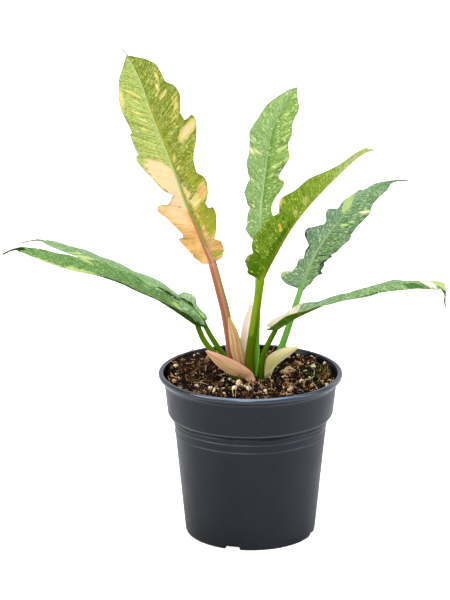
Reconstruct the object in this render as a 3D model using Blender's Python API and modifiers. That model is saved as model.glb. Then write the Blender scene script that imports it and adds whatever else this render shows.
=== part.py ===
"""Potted ring of fire gold philodendron.

A young philodendron with seven lobed leaves and four bud scales grows from a short crown in a
moulded nursery pot. Metres, +Z up. The origin is the middle of the pot's underside, and -Y is the
front. Dimensions below are millimetres, and MM turns them into metres where a mesh is made.
"""

import math

import bmesh
import bpy
import numpy as np

MM = 0.001
GAP = 0.3

# Pot: a 12 cm nursery pot.
POT_STEPS = 48
POT_HEIGHT = 110.0
RIM_RADIUS = 60.0
RIM_LIP_HEIGHT = 5.2
COLLAR_TOP_RADIUS = 56.7
COLLAR_FOOT_RADIUS = 54.4
COLLAR_FOOT_Z = 82.5
BODY_TOP_RADIUS = 50.4
BODY_TOP_Z = 78.0
BASE_RADIUS = 42.7
WALL = 1.3
RIDGE_HEIGHTS = (75.0, 69.5)
RIDGE_PROUD = 0.35
RIDGE_HALF_WIDTH = 0.5
FLOOR = 1.6
CHANNEL_INNER, CHANNEL_OUTER, CHANNEL_DEPTH = 25.5, 36.5, 2.5
NOTCH_COUNT, NOTCH_WIDTH, NOTCH_HEIGHT, FIRST_NOTCH_ANGLE = 4, 10.6, 2.6, -106.0
DRAIN_COUNT, DRAIN_DIAMETER, DRAIN_RADIUS = 8, 6.0, 31.0

# Soil: fills the pot, higher at the left than at the right, with a hollow round the crown.
SOIL_STEPS = 64
SOIL_TOP = 105.0
SOIL_SLOPE = 1.2 / 55.0
SOIL_BOTTOM = FLOOR + CHANNEL_DEPTH + GAP
SOIL_RINGS = (16.5, 19.0, 22.5, 26.0, 30.0, 34.0, 38.0, 42.0, 46.0, 50.0)
HOLE_RADIUS = 14.5
HOLE_BOTTOM = 70.0
HOLLOW_RADIUS, HOLLOW_DEPTH = 21.0, 0.8

# Stem: the crown stub that fills the hole. The plant stands a little behind the pot's middle.
CROWN_Y = 6.0
STEM_STEPS = 32
STEM_RADIUS = HOLE_RADIUS - GAP
STEM_TOP = 103.5
FOOT_Z = STEM_TOP + GAP

# Blades: one closed loft from the foot of the stalk to the tip.
BLADE_THICKNESS = 0.8
BASE_FAN = 0.10
TIP_TAPER = 0.84
POINTS_PER_HALF = 3
STALK_RINGS = 8
RING_SPACING = 0.042

# Bud scales: a thin hollowed strip.
SCALE_THICKNESS = 0.8
SCALE_RINGS = 12
SCALE_POINTS = 5

# One entry per leaf. stalk and rib are the centre lines; stalk_across is the stalk's thickness at
# its foot and at the blade; facing is where the upper side looks, by share of the rib; lift is how
# far the left and right halves fold up, in degrees; vein is the angle between the side veins and
# the rib. left and right give the margin's lobes and notches as (share of the blade, reach of the
# vein), wave is how far the margin ruffles.
LEAVES = {
    "leaf_tall_gold": {
        "stalk": [(-8.7, 8.6, FOOT_Z), (-11.5, 5, 117.5), (-16.1, -5, 149.8), (-20.2, -11, 168.9),
                  (-25, -17, 189.6)],
        "stalk_across": (6.4, 4.2),
        "rib": [(-25, -17, 189.6), (-35.9, -24, 218.3), (-41.7, -27, 232.3), (-50.4, -32, 258),
                (-62.7, -38, 292.6), (-69.2, -42, 313.5), (-78.6, -45, 334.4)],
        "facing": [(0, 0.1, 1, 0.2), (1, 0.1, 1, 0.1)],
        "lift": [(0, 8, 8), (1, 5, 5)],
        "vein": [(0, 135), (0.1, 100), (0.25, 70), (1, 42)],
        "wave": 2.0,
        "left": [(0, 1.5), (0.13, 10), (0.185, 7), (0.27, 15.5), (0.315, 12), (0.39, 19),
                 (0.44, 14.3), (0.575, 28.5), (0.61, 22), (0.65, 21), (0.72, 25), (0.78, 19),
                 (0.84, 16.5), (0.88, 13), (0.97, 2), (1, 0)],
        "right": [(0, 1.5), (0.14, 11.4), (0.155, 9.5), (0.21, 16), (0.235, 11), (0.315, 22),
                  (0.405, 5), (0.515, 24), (0.55, 20), (0.61, 23), (0.65, 19), (0.7, 22.5),
                  (0.8, 19), (0.86, 16), (0.9, 12), (0.97, 2), (1, 0)],
    },
    "leaf_upright_green": {
        "stalk": [(3.2, 9, FOOT_Z), (3.9, 13, 134.3), (4.8, 17, 160.6), (5.1, 22, 192.7)],
        "stalk_across": (5.2, 3.6),
        "rib": [(5.1, 22, 192.7), (6.9, 32, 217.5), (9.1, 38, 233.4), (11.3, 43, 249.6),
                (15.8, 48, 265.9), (30.4, 54.5, 287.7)],
        "facing": [(0, 0.15, -1, 0.3), (1, 0.1, -1, 0.4)],
        "lift": [(0, 18, 18), (1, 12, 12)],
        "vein": [(0, 135), (0.1, 100), (0.25, 65), (1, 38)],
        "wave": 2.0,
        "left": [(0, 1.5), (0.11, 4), (0.155, 10.4), (0.18, 8.3), (0.205, 9.5), (0.255, 6.6),
                 (0.31, 14), (0.4, 9.4), (0.44, 16.6), (0.52, 15), (0.6, 19), (0.69, 12.5),
                 (0.74, 13.4), (0.8, 10.5), (0.91, 4.6), (1, 0)],
        "right": [(0, 1.5), (0.14, 8), (0.165, 6.5), (0.205, 9.5), (0.255, 7.5), (0.375, 15.5),
                  (0.44, 10), (0.52, 17.7), (0.58, 14.5), (0.63, 16.8), (0.7, 13.5), (0.8, 12.5),
                  (0.84, 11), (0.92, 4.4), (1, 0)],
    },
    "leaf_front_bronze": {
        "stalk": [(-0.3, 1.2, FOOT_Z), (-0.4, -2, 122.5), (2, -8, 142), (5.5, -15, 170.2),
                  (6.7, -18, 178.5)],
        "stalk_across": (6.2, 4.4),
        "rib": [(6.7, -18, 178.5), (12.8, -22, 191.2), (25.9, -32, 219.4), (41, -42, 241.7),
                (62.5, -54, 267.5), (77.9, -62, 276.3)],
        "facing": [(0, -0.57, 0.68, 0.45), (1, -0.5, 0.6, 0.6)],
        "lift": [(0, 45, 45), (1, 35, 35)],
        "vein": [(0, 130), (0.1, 95), (0.25, 60), (1, 35)],
        "wave": 1.5,
        "left": [(0, 1.5), (0.08, 4), (0.13, 13), (0.17, 10.5), (0.24, 16), (0.29, 13),
                 (0.36, 16), (0.42, 12.5), (0.48, 15), (0.55, 12), (0.6, 12.5), (0.68, 9),
                 (0.8, 5.5), (0.91, 2), (1, 0)],
        "right": [(0, 1.5), (0.08, 4), (0.15, 14.3), (0.19, 11.7), (0.24, 17.8), (0.3, 16),
                  (0.33, 16.6), (0.4, 12.4), (0.45, 16.5), (0.52, 13), (0.57, 14.6), (0.62, 11.6),
                  (0.66, 12.4), (0.72, 8.5), (0.8, 5.6), (0.91, 2), (1, 0)],
    },
    "leaf_right_blue_green": {
        "stalk": [(9.5, 9, FOOT_Z), (15.8, 11, 112.9), (20.3, 14, 122), (24.7, 17, 134.3),
                  (33.2, 24, 159.6)],
        "stalk_across": (5.2, 3.8),
        "rib": [(33.2, 24, 159.6), (43.3, 33, 181.9), (59.2, 42, 201.9), (77.5, 50, 219.8),
                (92.4, 55, 224.3), (103.8, 58, 224.2)],
        "facing": [(0, -0.3, -0.7, 0.6), (1, -0.2, -0.6, 0.8)],
        "lift": [(0, 12, 12), (0.4, 0, 5), (0.7, -35, -5), (1, -40, -10)],
        "vein": [(0, 140), (0.1, 100), (0.25, 65), (1, 38)],
        "wave": 2.0,
        "left": [(0, 1.5), (0.105, 6.5), (0.14, 14.3), (0.18, 8), (0.212, 8.2), (0.245, 6),
                 (0.345, 14.8), (0.385, 10.2), (0.44, 9), (0.5, 12.5), (0.56, 9.5), (0.64, 9.8),
                 (0.73, 6.5), (0.85, 2.5), (1, 0)],
        "right": [(0, 1.5), (0.11, 4), (0.145, 8), (0.165, 7), (0.19, 13.6), (0.212, 10),
                  (0.25, 17), (0.275, 11), (0.345, 20), (0.385, 20.2), (0.43, 16.9), (0.5, 19.8),
                  (0.57, 19.8), (0.65, 14), (0.7, 15), (0.74, 11), (0.78, 3.5), (0.9, 1.2), (1, 0)],
    },
    "leaf_right_low": {
        "stalk": [(6.1, 1.2, FOOT_Z), (7.7, -1, 117.9), (10.3, -4, 127.7), (16.6, -9, 141.9)],
        "stalk_across": (4.6, 3.4),
        "rib": [(16.6, -9, 141.9), (28.1, -12, 149.1), (38.6, -15, 155.1), (47.6, -17, 160.9),
                (57.9, -19, 167.1), (70.1, -21, 171.9), (82.2, -24, 176.6), (100.1, -28, 179.8),
                (112.2, -31, 180.9), (119.8, -32, 179.9), (124.7, -33, 174.2), (125.6, -33, 164.9)],
        "facing": [(0, -0.3, 0, 0.95), (0.4, -0.2, 0, 0.97), (0.8, 0, 0, 1), (0.92, 0.6, 0, 0.8),
                   (1, 0.95, 0, 0.3)],
        "lift": [(0, 14, 32), (0.2, 12, 28), (0.3, -3, 8), (0.42, -18, 0), (0.8, -18, -3),
                 (1, -20, -10)],
        "vein": [(0, 150), (0.1, 110), (0.25, 65), (1, 38)],
        "wave": 1.2,
        "left": [(0, 2), (0.05, 9), (0.1, 13), (0.15, 11), (0.21, 16.5), (0.27, 13.5), (0.34, 17),
                 (0.41, 14), (0.48, 17.5), (0.55, 14), (0.62, 16), (0.69, 12.5), (0.76, 12),
                 (0.84, 8), (0.92, 3.5), (1, 0)],
        "right": [(0, 2), (0.04, 6), (0.08, 9), (0.13, 7.5), (0.19, 13), (0.25, 11), (0.33, 16),
                  (0.4, 13.5), (0.5, 17), (0.56, 14), (0.64, 15), (0.7, 12), (0.78, 12), (0.85, 8),
                  (0.93, 3), (1, 0)],
    },
    "leaf_left_near": {
        "stalk": [(-9.2, 2.2, FOOT_Z), (-14.1, -1, 112.5), (-24.5, -8, 127.8), (-29.6, -13, 136.5),
                  (-34.2, -19, 147.6)],
        "stalk_across": (4.8, 3.6),
        "rib": [(-34.2, -19, 147.6), (-45.7, -24, 157.6), (-57.9, -28, 166.9), (-71.1, -32, 176.5),
                (-83.5, -36, 184), (-97.8, -39, 190.7), (-120, -44, 198.3), (-134.5, -47, 203.4),
                (-143.9, -49, 207), (-149.9, -50, 207.6), (-157.8, -51, 204.3)],
        "facing": [(0, 0.35, -0.04, 0.95), (0.7, 0.15, -0.04, 0.98), (1, 0, 0, 1)],
        "lift": [(0, 25, 12), (0.2, 18, 8), (0.35, -3, 5), (1, -3, 0)],
        "vein": [(0, 150), (0.1, 110), (0.25, 62), (1, 36)],
        "wave": 0.8,
        "left": [(0, 2), (0.05, 6), (0.1, 9), (0.15, 8), (0.21, 14), (0.27, 12.5), (0.35, 18),
                 (0.42, 15.5), (0.5, 18.5), (0.57, 16), (0.64, 16.5), (0.7, 13.5), (0.77, 11),
                 (0.85, 6.5), (0.92, 1.5), (1, 0)],
        "right": [(0, 2), (0.05, 7), (0.11, 12), (0.16, 10.5), (0.23, 16), (0.3, 13.5),
                  (0.37, 17.5), (0.44, 15), (0.52, 17), (0.58, 14), (0.65, 14.5), (0.72, 11),
                  (0.79, 9), (0.86, 5), (0.92, 1.5), (1, 0)],
    },
    "leaf_left_far": {
        "stalk": [(-6.8, 14.4, FOOT_Z), (-16.5, 12, 117.3), (-24.4, 8, 131.7), (-30.9, 5, 143.6)],
        "stalk_across": (4.6, 3.4),
        "rib": [(-30.9, 5, 143.6), (-37.8, 8, 150.5), (-46.4, 11, 155.8), (-54.3, 13, 160.8),
                (-63.3, 16, 165.2), (-85.5, 22, 173.8), (-98.6, 25, 178.2), (-109.7, 28, 181.6),
                (-121.1, 30, 184.8), (-133.1, 33, 187.8), (-140.4, 34, 189.5), (-150.8, 36, 187.5)],
        "facing": [(0, 0.35, -0.05, 0.95), (1, 0.1, -0.05, 0.98)],
        "lift": [(0, 10, 5), (0.25, 0, -10), (1, 0, -12)],
        "vein": [(0, 150), (0.1, 110), (0.25, 62), (1, 36)],
        "wave": 0.8,
        "left": [(0, 2), (0.05, 6), (0.1, 10), (0.16, 8.5), (0.23, 14), (0.29, 12), (0.36, 16),
                 (0.43, 13.5), (0.5, 16.5), (0.57, 14), (0.64, 14.5), (0.71, 11), (0.78, 9),
                 (0.85, 5), (0.9, 1.5), (1, 0)],
        "right": [(0, 2), (0.05, 7), (0.1, 12), (0.15, 10), (0.22, 15), (0.29, 13), (0.37, 17),
                  (0.44, 14), (0.51, 16), (0.57, 13), (0.64, 14), (0.71, 10.5), (0.78, 9),
                  (0.85, 5), (0.9, 1.5), (1, 0)],
    },
}

# One entry per bud scale: the centre line from foot to tip, the half widths along it, the way the
# scale spreads by share of its length, and how deep it is hollowed, as a share of the half width.
SCALES = {
    "bud_scale_front": {
        "path": [(1.7, -4, FOOT_Z), (-1.6, -5.4, 109.5), (-8.2, -8, 114.8), (-14.1, -11, 119.5),
                 (-20.6, -14, 124.2), (-28.4, -17, 129.2)],
        "half_widths": (2, 3.8, 4.4, 4.2, 3, 0.7),
        "across": [(0, -1, 0, 0), (0.3, -0.5, 0, -0.87), (1, -0.5, 0, -0.87)],
        "hollow": 0.35,
        "colour": (0.62, 0.33, 0.22),
    },
    "bud_scale_tan": {
        "path": [(-5, 3.4, FOOT_Z), (-7.2, -0.3, 117.7), (-8.7, -4, 129.3), (-10.5, -7.5, 140.7),
                 (-12.2, -10.5, 150.6)],
        "half_widths": (1.8, 3.1, 3.5, 2.5, 0.7),
        "across": [(0, -1, 0, 0), (1, -1, 0, 0)],
        "hollow": 0.45,
        "colour": (0.69, 0.41, 0.19),
    },
    "bud_scale_pink": {
        "path": [(-2.6, 13, FOOT_Z), (-3.2, 12.5, 120.6), (-3.1, 12.5, 131), (-2, 12.5, 142.7),
                 (0.1, 12.5, 151.7)],
        "half_widths": (2, 3.2, 3.2, 2.6, 0.7),
        "across": [(0, 1, 0, 0), (1, 1, 0, 0)],
        "hollow": 0.4,
        "colour": (0.87, 0.61, 0.5),
    },
    "bud_scale_cream": {
        "path": [(11.1, 3.3, FOOT_Z), (12.2, 2, 111.6), (14.8, 1, 116.7), (19.3, 0, 121.1),
                 (24.6, -1, 124.6), (30.8, -1, 126.8)],
        "half_widths": (1.6, 3.1, 4, 4.3, 3, 0.7),
        "across": [(0, -1, 0, 0), (0.35, -0.65, -0.1, 0.76), (1, -0.65, -0.1, 0.76)],
        "hollow": 0.35,
        "colour": (0.68, 0.62, 0.33),
    },
}

# A dry scrap of an old scale, folded like a roof, lies on the soil. Its heights are above the soil.
SCRAP = {
    "path": [(19.3, 13.5, 0.9), (21.5, 13, 3.6), (24.4, 12.8, 5.4), (26.7, 13, 3.2),
             (29, 13.4, 0.9)],
    "half_widths": (1.4, 2.6, 2.2, 1.7, 0.6),
    "across": [(0, 0.2, 0.95, 0.1), (1, 0.2, 0.95, 0.1)],
    "hollow": 0.3,
    "colour": (0.6, 0.4, 0.18),
}

LEAF_COLOURS = {
    "leaf_tall_gold": (0.62, 0.52, 0.14),
    "leaf_upright_green": (0.28, 0.5, 0.2),
    "leaf_front_bronze": (0.13, 0.2, 0.015),
    "leaf_right_blue_green": (0.2, 0.42, 0.27),
    "leaf_right_low": (0.2, 0.4, 0.2),
    "leaf_left_near": (0.15, 0.36, 0.11),
    "leaf_left_far": (0.18, 0.38, 0.14),
}


def clear_scene():
    for obj in list(bpy.data.objects):
        bpy.data.objects.remove(obj, do_unlink=True)


def new_collection(name, hidden=False):
    group = bpy.data.collections.new(name)
    bpy.context.scene.collection.children.link(group)
    group.hide_render = hidden
    return group


def material(name, colour, roughness):
    finish = bpy.data.materials.new(name)
    finish.use_nodes = True
    shader = finish.node_tree.nodes["Principled BSDF"]
    shader.inputs["Base Color"].default_value = (*colour, 1)
    shader.inputs["Roughness"].default_value = roughness
    shader.inputs["Metallic"].default_value = 0.0
    return finish


def add_object(name, mesh, group, finish=None):
    obj = bpy.data.objects.new(name, mesh)
    group.objects.link(obj)
    if finish:
        mesh.materials.append(finish)
    return obj


def unit(vector):
    return vector / np.linalg.norm(vector)


def smooth_line(points, count):
    """Count places, evenly spaced along the Catmull-Rom curve through the points."""
    p = np.array(points, float)
    p = np.vstack([2 * p[0] - p[1], p, 2 * p[-1] - p[-2]])
    fine = []
    for a, b, c, d in zip(p, p[1:], p[2:], p[3:]):
        for t in np.linspace(0, 1, 40, endpoint=False):
            fine.append(b + 0.5 * t * (c - a + t * (2 * a - 5 * b + 4 * c - d
                                                    + t * (3 * b - a - 3 * c + d))))
    fine = np.array(fine + [p[-2]])
    run = np.concatenate([[0], np.cumsum(np.linalg.norm(np.diff(fine, axis=0), axis=1))])
    places = np.linspace(0, run[-1], count)
    return np.column_stack([np.interp(places, run, fine[:, k]) for k in range(3)])


def along(rows, share):
    """The rows' values at this share, in between the rows by straight lines."""
    shares = [row[0] for row in rows]
    return np.array([np.interp(share, shares, [row[k] for row in rows])
                     for k in range(1, len(rows[0]))])


def margin(lobes, share):
    """(reach, phase): round lobes with sharp notches; phase is 1 on a lobe and -1 in a notch."""
    for (start, low), (end, high) in zip(lobes, lobes[1:]):
        if share <= end:
            t = (share - start) / (end - start)
            if start >= TIP_TAPER:
                return low + (high - low) * t, 0.0
            if high >= low:
                return low + (high - low) * math.sin(math.pi / 2 * t), -math.cos(math.pi * t)
            return high + (low - high) * math.cos(math.pi / 2 * t), math.cos(math.pi * t)
    return lobes[-1][1], 0.0


def blade_shares(leaf):
    """Shares of the blade that get a ring: every lobe and notch, and steps in between."""
    knots = [0.0]
    for share in sorted({row[0] for side in ("left", "right") for row in leaf[side]}):
        if share - knots[-1] > 0.4 * RING_SPACING:
            knots.append(share)
    knots[-1] = 1.0
    shares = [0.0]
    for start, end in zip(knots, knots[1:]):
        parts = math.ceil((end - start) / RING_SPACING)
        shares += [start + (end - start) * k / parts for k in range(1, parts + 1)]
    return shares


def leaf_frame(place, tangent, facing):
    """Point, forward, up and sideways directions of the rib here."""
    forward = unit(tangent)
    up = unit(facing - forward * (facing @ forward))
    return place, forward, up, np.cross(forward, up)


def blade_half(leaf, share, side, frame, rib_radius):
    """Upper and lower points of one half's cross-section, from the rib out to the margin."""
    place, forward, up, sideways = frame
    lift = math.radians(along(leaf["lift"], share)[0 if side < 0 else 1])
    vein = math.radians(along(leaf["vein"], share)[0])
    outward = math.cos(lift) * side * sideways + math.sin(lift) * up
    normal = math.cos(lift) * up - math.sin(lift) * side * sideways
    reach, phase = margin(leaf["left" if side < 0 else "right"], share)
    reach = max(reach, 0.9 * rib_radius)
    start = min(1.1 * rib_radius, 0.5 * reach)
    upper, lower = [], []
    for k in range(POINTS_PER_HALF):
        distance = start + (reach - start) * k / (POINTS_PER_HALF - 1)
        out = distance / reach
        ahead = math.cos(vein) * (1 if vein < math.pi / 2 else out)
        ruffle = leaf["wave"] * phase * out**2 * min(1, reach / 10)
        middle = (place + distance * (math.sin(vein) * outward + ahead * forward)
                  + ruffle * normal)
        upper.append(middle + normal * BLADE_THICKNESS / 2)
        lower.append(middle - normal * BLADE_THICKNESS / 2)
    return upper, lower


def leaf_rings(leaf):
    """Cross-sections of the whole leaf, each with the same number of points."""
    per_side = 2 * POINTS_PER_HALF + 1
    foot, top = leaf["stalk_across"]
    turn = np.radians(np.concatenate([np.linspace(162, 18, per_side),
                                      np.linspace(-18, -162, per_side)]))
    path = smooth_line(leaf["stalk"], STALK_RINGS + 1)
    tangents = np.gradient(path, axis=0)
    tangents[0] = (0, 0, 1)
    facing = along(leaf["facing"], 0)
    rings = []
    for k in range(STALK_RINGS):
        place, _, up, sideways = leaf_frame(path[k], tangents[k], facing)
        radius = (foot + (top - foot) * (k / STALK_RINGS) ** 0.8) / 2
        rings.append([place + radius * (math.cos(a) * sideways + math.sin(a) * up) for a in turn])
    steps = 400
    rib = smooth_line(leaf["rib"], steps + 1)
    tangents = np.gradient(rib, axis=0)
    for share in blade_shares(leaf):
        gone = max(0.08 * share, (share - BASE_FAN) / (1 - BASE_FAN))
        index = min(steps - 1, int(gone * steps))
        part = gone * steps - index
        place = rib[index] * (1 - part) + rib[index + 1] * part
        tangent = tangents[index] * (1 - part) + tangents[index + 1] * part
        frame = leaf_frame(place, tangent, along(leaf["facing"], gone))
        rib_radius = top / 2 * (1 - gone) ** 0.8 + 0.5
        left_up, left_low = blade_half(leaf, share, -1, frame, rib_radius)
        right_up, right_low = blade_half(leaf, share, 1, frame, rib_radius)
        up = frame[2]
        rings.append(left_up[::-1] + [place + up * 0.3 * BLADE_THICKNESS] + right_up
                     + right_low[::-1] + [place - up * 1.4 * rib_radius] + left_low)
    return rings


def mesh_from_rings(name, rings):
    """Closed mesh of triangles through the rings, split alike on both faces, with end caps."""
    bm = bmesh.new()
    rows = [[bm.verts.new([c * MM for c in point]) for point in ring] for ring in rings]
    size = len(rows[0])
    for near, far in zip(rows, rows[1:]):
        for k in range(size):
            a, b, c, d = near[k], near[(k + 1) % size], far[k], far[(k + 1) % size]
            if k < size // 2:
                bm.faces.new((a, b, d))
                bm.faces.new((a, d, c))
            else:
                bm.faces.new((a, b, c))
                bm.faces.new((b, d, c))
    bm.faces.new(rows[0][::-1])
    bm.faces.new(rows[-1])
    bmesh.ops.triangulate(bm, faces=[face for face in bm.faces if len(face.verts) > 3])
    mesh = bpy.data.meshes.new(name)
    bm.to_mesh(mesh)
    bm.free()
    mesh.shade_smooth()
    mesh.set_sharp_from_angle(angle=math.radians(50))
    return mesh


def scale_rings(scale):
    """Cross-sections of a bud scale: a thin hollowed strip along its path, level at the foot."""
    path = smooth_line(scale["path"], SCALE_RINGS)
    tangents = np.gradient(path, axis=0)
    widths = np.interp(np.linspace(0, len(scale["half_widths"]) - 1, SCALE_RINGS),
                       range(len(scale["half_widths"])), scale["half_widths"])
    if path[0][2] == FOOT_Z:
        tangents[0] = (0, 0, 1)
    rings = []
    for k, (place, tangent, half_width) in enumerate(zip(path, tangents, widths)):
        forward = unit(tangent)
        across = along(scale["across"], k / (SCALE_RINGS - 1))
        across = unit(across - forward * (across @ forward))
        normal = np.cross(across, forward)
        outer, inner = [], []
        for t in np.linspace(-1, 1, SCALE_POINTS):
            slope = 2 * scale["hollow"] * t
            face = unit(normal - slope * across)
            middle = place + half_width * (t * across + scale["hollow"] * t * t * normal)
            outer.append(middle - face * SCALE_THICKNESS / 2)
            inner.append(middle + face * SCALE_THICKNESS / 2)
        rings.append(inner + outer[::-1])
    return rings


def turned(name, profile, steps, group, finish=None):
    """Solid of revolution from a closed outline of (radius, height) points."""
    mesh = bpy.data.meshes.new(name)
    count = len(profile)
    mesh.from_pydata([(r * MM, 0, z * MM) for r, z in profile],
                     [(k, (k + 1) % count) for k in range(count)], [])
    obj = add_object(name, mesh, group, finish)
    screw = obj.modifiers.new("turn", "SCREW")
    screw.steps = screw.render_steps = steps
    screw.use_merge_vertices = True
    screw.merge_threshold = 0.00001
    screw.use_smooth_shade = True
    return obj


def body_radius(z):
    return BASE_RADIUS + (BODY_TOP_RADIUS - BASE_RADIUS) * z / BODY_TOP_Z


def collar_radius(z):
    top = POT_HEIGHT - RIM_LIP_HEIGHT
    return (COLLAR_FOOT_RADIUS
            + (COLLAR_TOP_RADIUS - COLLAR_FOOT_RADIUS) * (z - COLLAR_FOOT_Z) / (top - COLLAR_FOOT_Z))


def pot_outside():
    """Outer outline, from the crest of the lip down to the foot."""
    lip = POT_HEIGHT - RIM_LIP_HEIGHT
    points = [(RIM_RADIUS - 1.6, POT_HEIGHT), (RIM_RADIUS - 0.5, POT_HEIGHT - 0.4),
              (RIM_RADIUS, POT_HEIGHT - 1.4), (RIM_RADIUS, lip + 1.0),
              (RIM_RADIUS - 0.6, lip + 0.2), (collar_radius(lip) + 0.9, lip),
              (collar_radius(lip), lip - 0.8), (COLLAR_FOOT_RADIUS, COLLAR_FOOT_Z),
              (COLLAR_FOOT_RADIUS - 0.5, COLLAR_FOOT_Z - 1.3),
              (COLLAR_FOOT_RADIUS - 1.6, COLLAR_FOOT_Z - 2.2),
              (BODY_TOP_RADIUS + 0.5, BODY_TOP_Z + 1.2), (BODY_TOP_RADIUS, BODY_TOP_Z)]
    for ridge in RIDGE_HEIGHTS:
        points += [(body_radius(ridge) + proud, ridge + offset) for offset, proud in
                   ((2 * RIDGE_HALF_WIDTH, 0), (RIDGE_HALF_WIDTH / 2, RIDGE_PROUD),
                    (-RIDGE_HALF_WIDTH / 2, RIDGE_PROUD), (-2 * RIDGE_HALF_WIDTH, 0))]
    return points + [(body_radius(2.4), 2.4), (BASE_RADIUS - 0.4, 0.7), (BASE_RADIUS - 1.2, 0)]


def pot_inside():
    """Inner wall, from the floor's edge up to the lip."""
    return [(body_radius(4) - WALL, 4), (body_radius(BODY_TOP_Z) - WALL, BODY_TOP_Z + 0.6),
            (COLLAR_FOOT_RADIUS - WALL, COLLAR_FOOT_Z - 0.6),
            (collar_radius(104) - WALL, 104), (RIM_RADIUS - 3.2, POT_HEIGHT - 1.6),
            (RIM_RADIUS - 2.6, POT_HEIGHT - 0.4)]


def pot_profile():
    underside = [(CHANNEL_OUTER, 0), (CHANNEL_OUTER - 0.4, CHANNEL_DEPTH),
                 (CHANNEL_INNER + 0.4, CHANNEL_DEPTH), (CHANNEL_INNER, 0), (0, 0)]
    floor = [(0, FLOOR), (CHANNEL_INNER - WALL, FLOOR), (CHANNEL_INNER - 0.6, FLOOR + CHANNEL_DEPTH),
             (CHANNEL_OUTER + 0.6, FLOOR + CHANNEL_DEPTH), (CHANNEL_OUTER + WALL, FLOOR),
             (body_radius(FLOOR) - WALL - 0.6, FLOOR)]
    return pot_outside() + underside + floor + pot_inside()


def cut(obj, cutter):
    boolean = obj.modifiers.new("cut " + cutter.name, "BOOLEAN")
    boolean.operation = "DIFFERENCE"
    boolean.solver = "EXACT"
    boolean.object = cutter


def box_mesh(name, corners):
    """Box between two opposite corners."""
    low, high = np.array(corners) * MM
    bm = bmesh.new()
    bmesh.ops.create_cube(bm, size=1)
    for vert in bm.verts:
        vert.co = [(low[k] + high[k]) / 2 + vert.co[k] * (high[k] - low[k]) for k in range(3)]
    mesh = bpy.data.meshes.new(name)
    bm.to_mesh(mesh)
    bm.free()
    return mesh


def cylinder_mesh(name, radius, low, high):
    bm = bmesh.new()
    bmesh.ops.create_cone(bm, cap_ends=True, segments=12, radius1=radius * MM, radius2=radius * MM,
                          depth=(high - low) * MM)
    for vert in bm.verts:
        vert.co.z += (low + high) / 2 * MM
    mesh = bpy.data.meshes.new(name)
    bm.to_mesh(mesh)
    bm.free()
    return mesh


def make_pot(group, cutters):
    pot = turned("pot", pot_profile(), POT_STEPS, group,
                 material("moulded charcoal polypropylene", (0.035, 0.04, 0.05), 0.45))
    notch = box_mesh("notch", [(CHANNEL_OUTER - 2, -NOTCH_WIDTH / 2, -1),
                               (BASE_RADIUS + 2, NOTCH_WIDTH / 2, NOTCH_HEIGHT)])
    hole = cylinder_mesh("drain", DRAIN_DIAMETER / 2, -1, FLOOR + CHANNEL_DEPTH + 1)
    for k in range(NOTCH_COUNT):
        cutter = add_object(f"notch_{k}", notch, cutters)
        cutter.rotation_euler.z = math.radians(FIRST_NOTCH_ANGLE + 360 / NOTCH_COUNT * k)
        cutter.display_type, cutter.hide_render = "WIRE", True
        cut(pot, cutter)
    for k in range(DRAIN_COUNT):
        angle = math.radians(360 / DRAIN_COUNT * (k + 0.5))
        cutter = add_object(f"drain_{k}", hole, cutters)
        cutter.location = (DRAIN_RADIUS * MM * math.cos(angle), DRAIN_RADIUS * MM * math.sin(angle), 0)
        cutter.display_type, cutter.hide_render = "WIRE", True
        cut(pot, cutter)


def soil_height(x, y):
    """Height of the soil at a place: a gentle slope, clods, and the hollow at the crown."""
    clods = (0.55 * math.sin(0.29 * x + 1.3) * math.cos(0.33 * y - 0.4)
             + 0.4 * math.sin(0.61 * x - 0.47 * y + 2.1)
             + 0.35 * math.cos(0.93 * x + 0.71 * y) * math.sin(0.52 * y + 0.9))
    from_crown = math.hypot(x, y - CROWN_Y) - HOLE_RADIUS
    hollow = HOLLOW_DEPTH * max(0, 1 - from_crown / (HOLLOW_RADIUS - HOLE_RADIUS))
    return SOIL_TOP - SOIL_SLOPE * x + clods - hollow


def make_soil(group):
    """Turned filling of the pot. The hole is then moved to the crown and the top raised into clods."""
    wall = [(r - GAP - 0.1, z + (GAP if z < COLLAR_FOOT_Z else 0)) for r, z in pot_inside()[:4]]
    top_radius = wall[-1][0]
    wall[-1] = (top_radius - 0.1, SOIL_TOP)
    wall[0] = (wall[0][0], SOIL_BOTTOM)
    profile = ([(HOLE_RADIUS, SOIL_TOP)] + [(r, SOIL_TOP) for r in SOIL_RINGS] + wall[::-1]
               + [(0, SOIL_BOTTOM), (0, HOLE_BOTTOM), (HOLE_RADIUS, HOLE_BOTTOM)])
    soil = turned("soil", profile, SOIL_STEPS, group)
    graph = bpy.context.evaluated_depsgraph_get()
    mesh = bpy.data.meshes.new_from_object(soil.evaluated_get(graph))
    soil.modifiers.clear()
    soil.data = mesh
    for vert in mesh.vertices:
        x, y, z = (c / MM for c in vert.co)
        if z > HOLE_BOTTOM - 0.01:
            outside = (math.hypot(x, y) - HOLE_RADIUS) / (SOIL_RINGS[-1] - HOLE_RADIUS)
            y += CROWN_Y * min(1, max(0, 1 - outside))
            vert.co.y = y * MM
        if z > SOIL_TOP - 0.01:
            vert.co.z = soil_height(x, y) * MM
    mesh.materials.append(material("coir and pumice potting mix", (0.06, 0.03, 0.015), 0.95))


def make_stem(group):
    stem = turned("stem", [(0, STEM_TOP), (STEM_RADIUS - 1, STEM_TOP), (STEM_RADIUS, STEM_TOP - 1),
                           (STEM_RADIUS, HOLE_BOTTOM + GAP + 2), (STEM_RADIUS - 2, HOLE_BOTTOM + GAP),
                           (0, HOLE_BOTTOM + GAP)],
                  STEM_STEPS, group, material("green crown tissue", (0.12, 0.2, 0.04), 0.6))
    stem.location.y = CROWN_Y * MM


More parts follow.
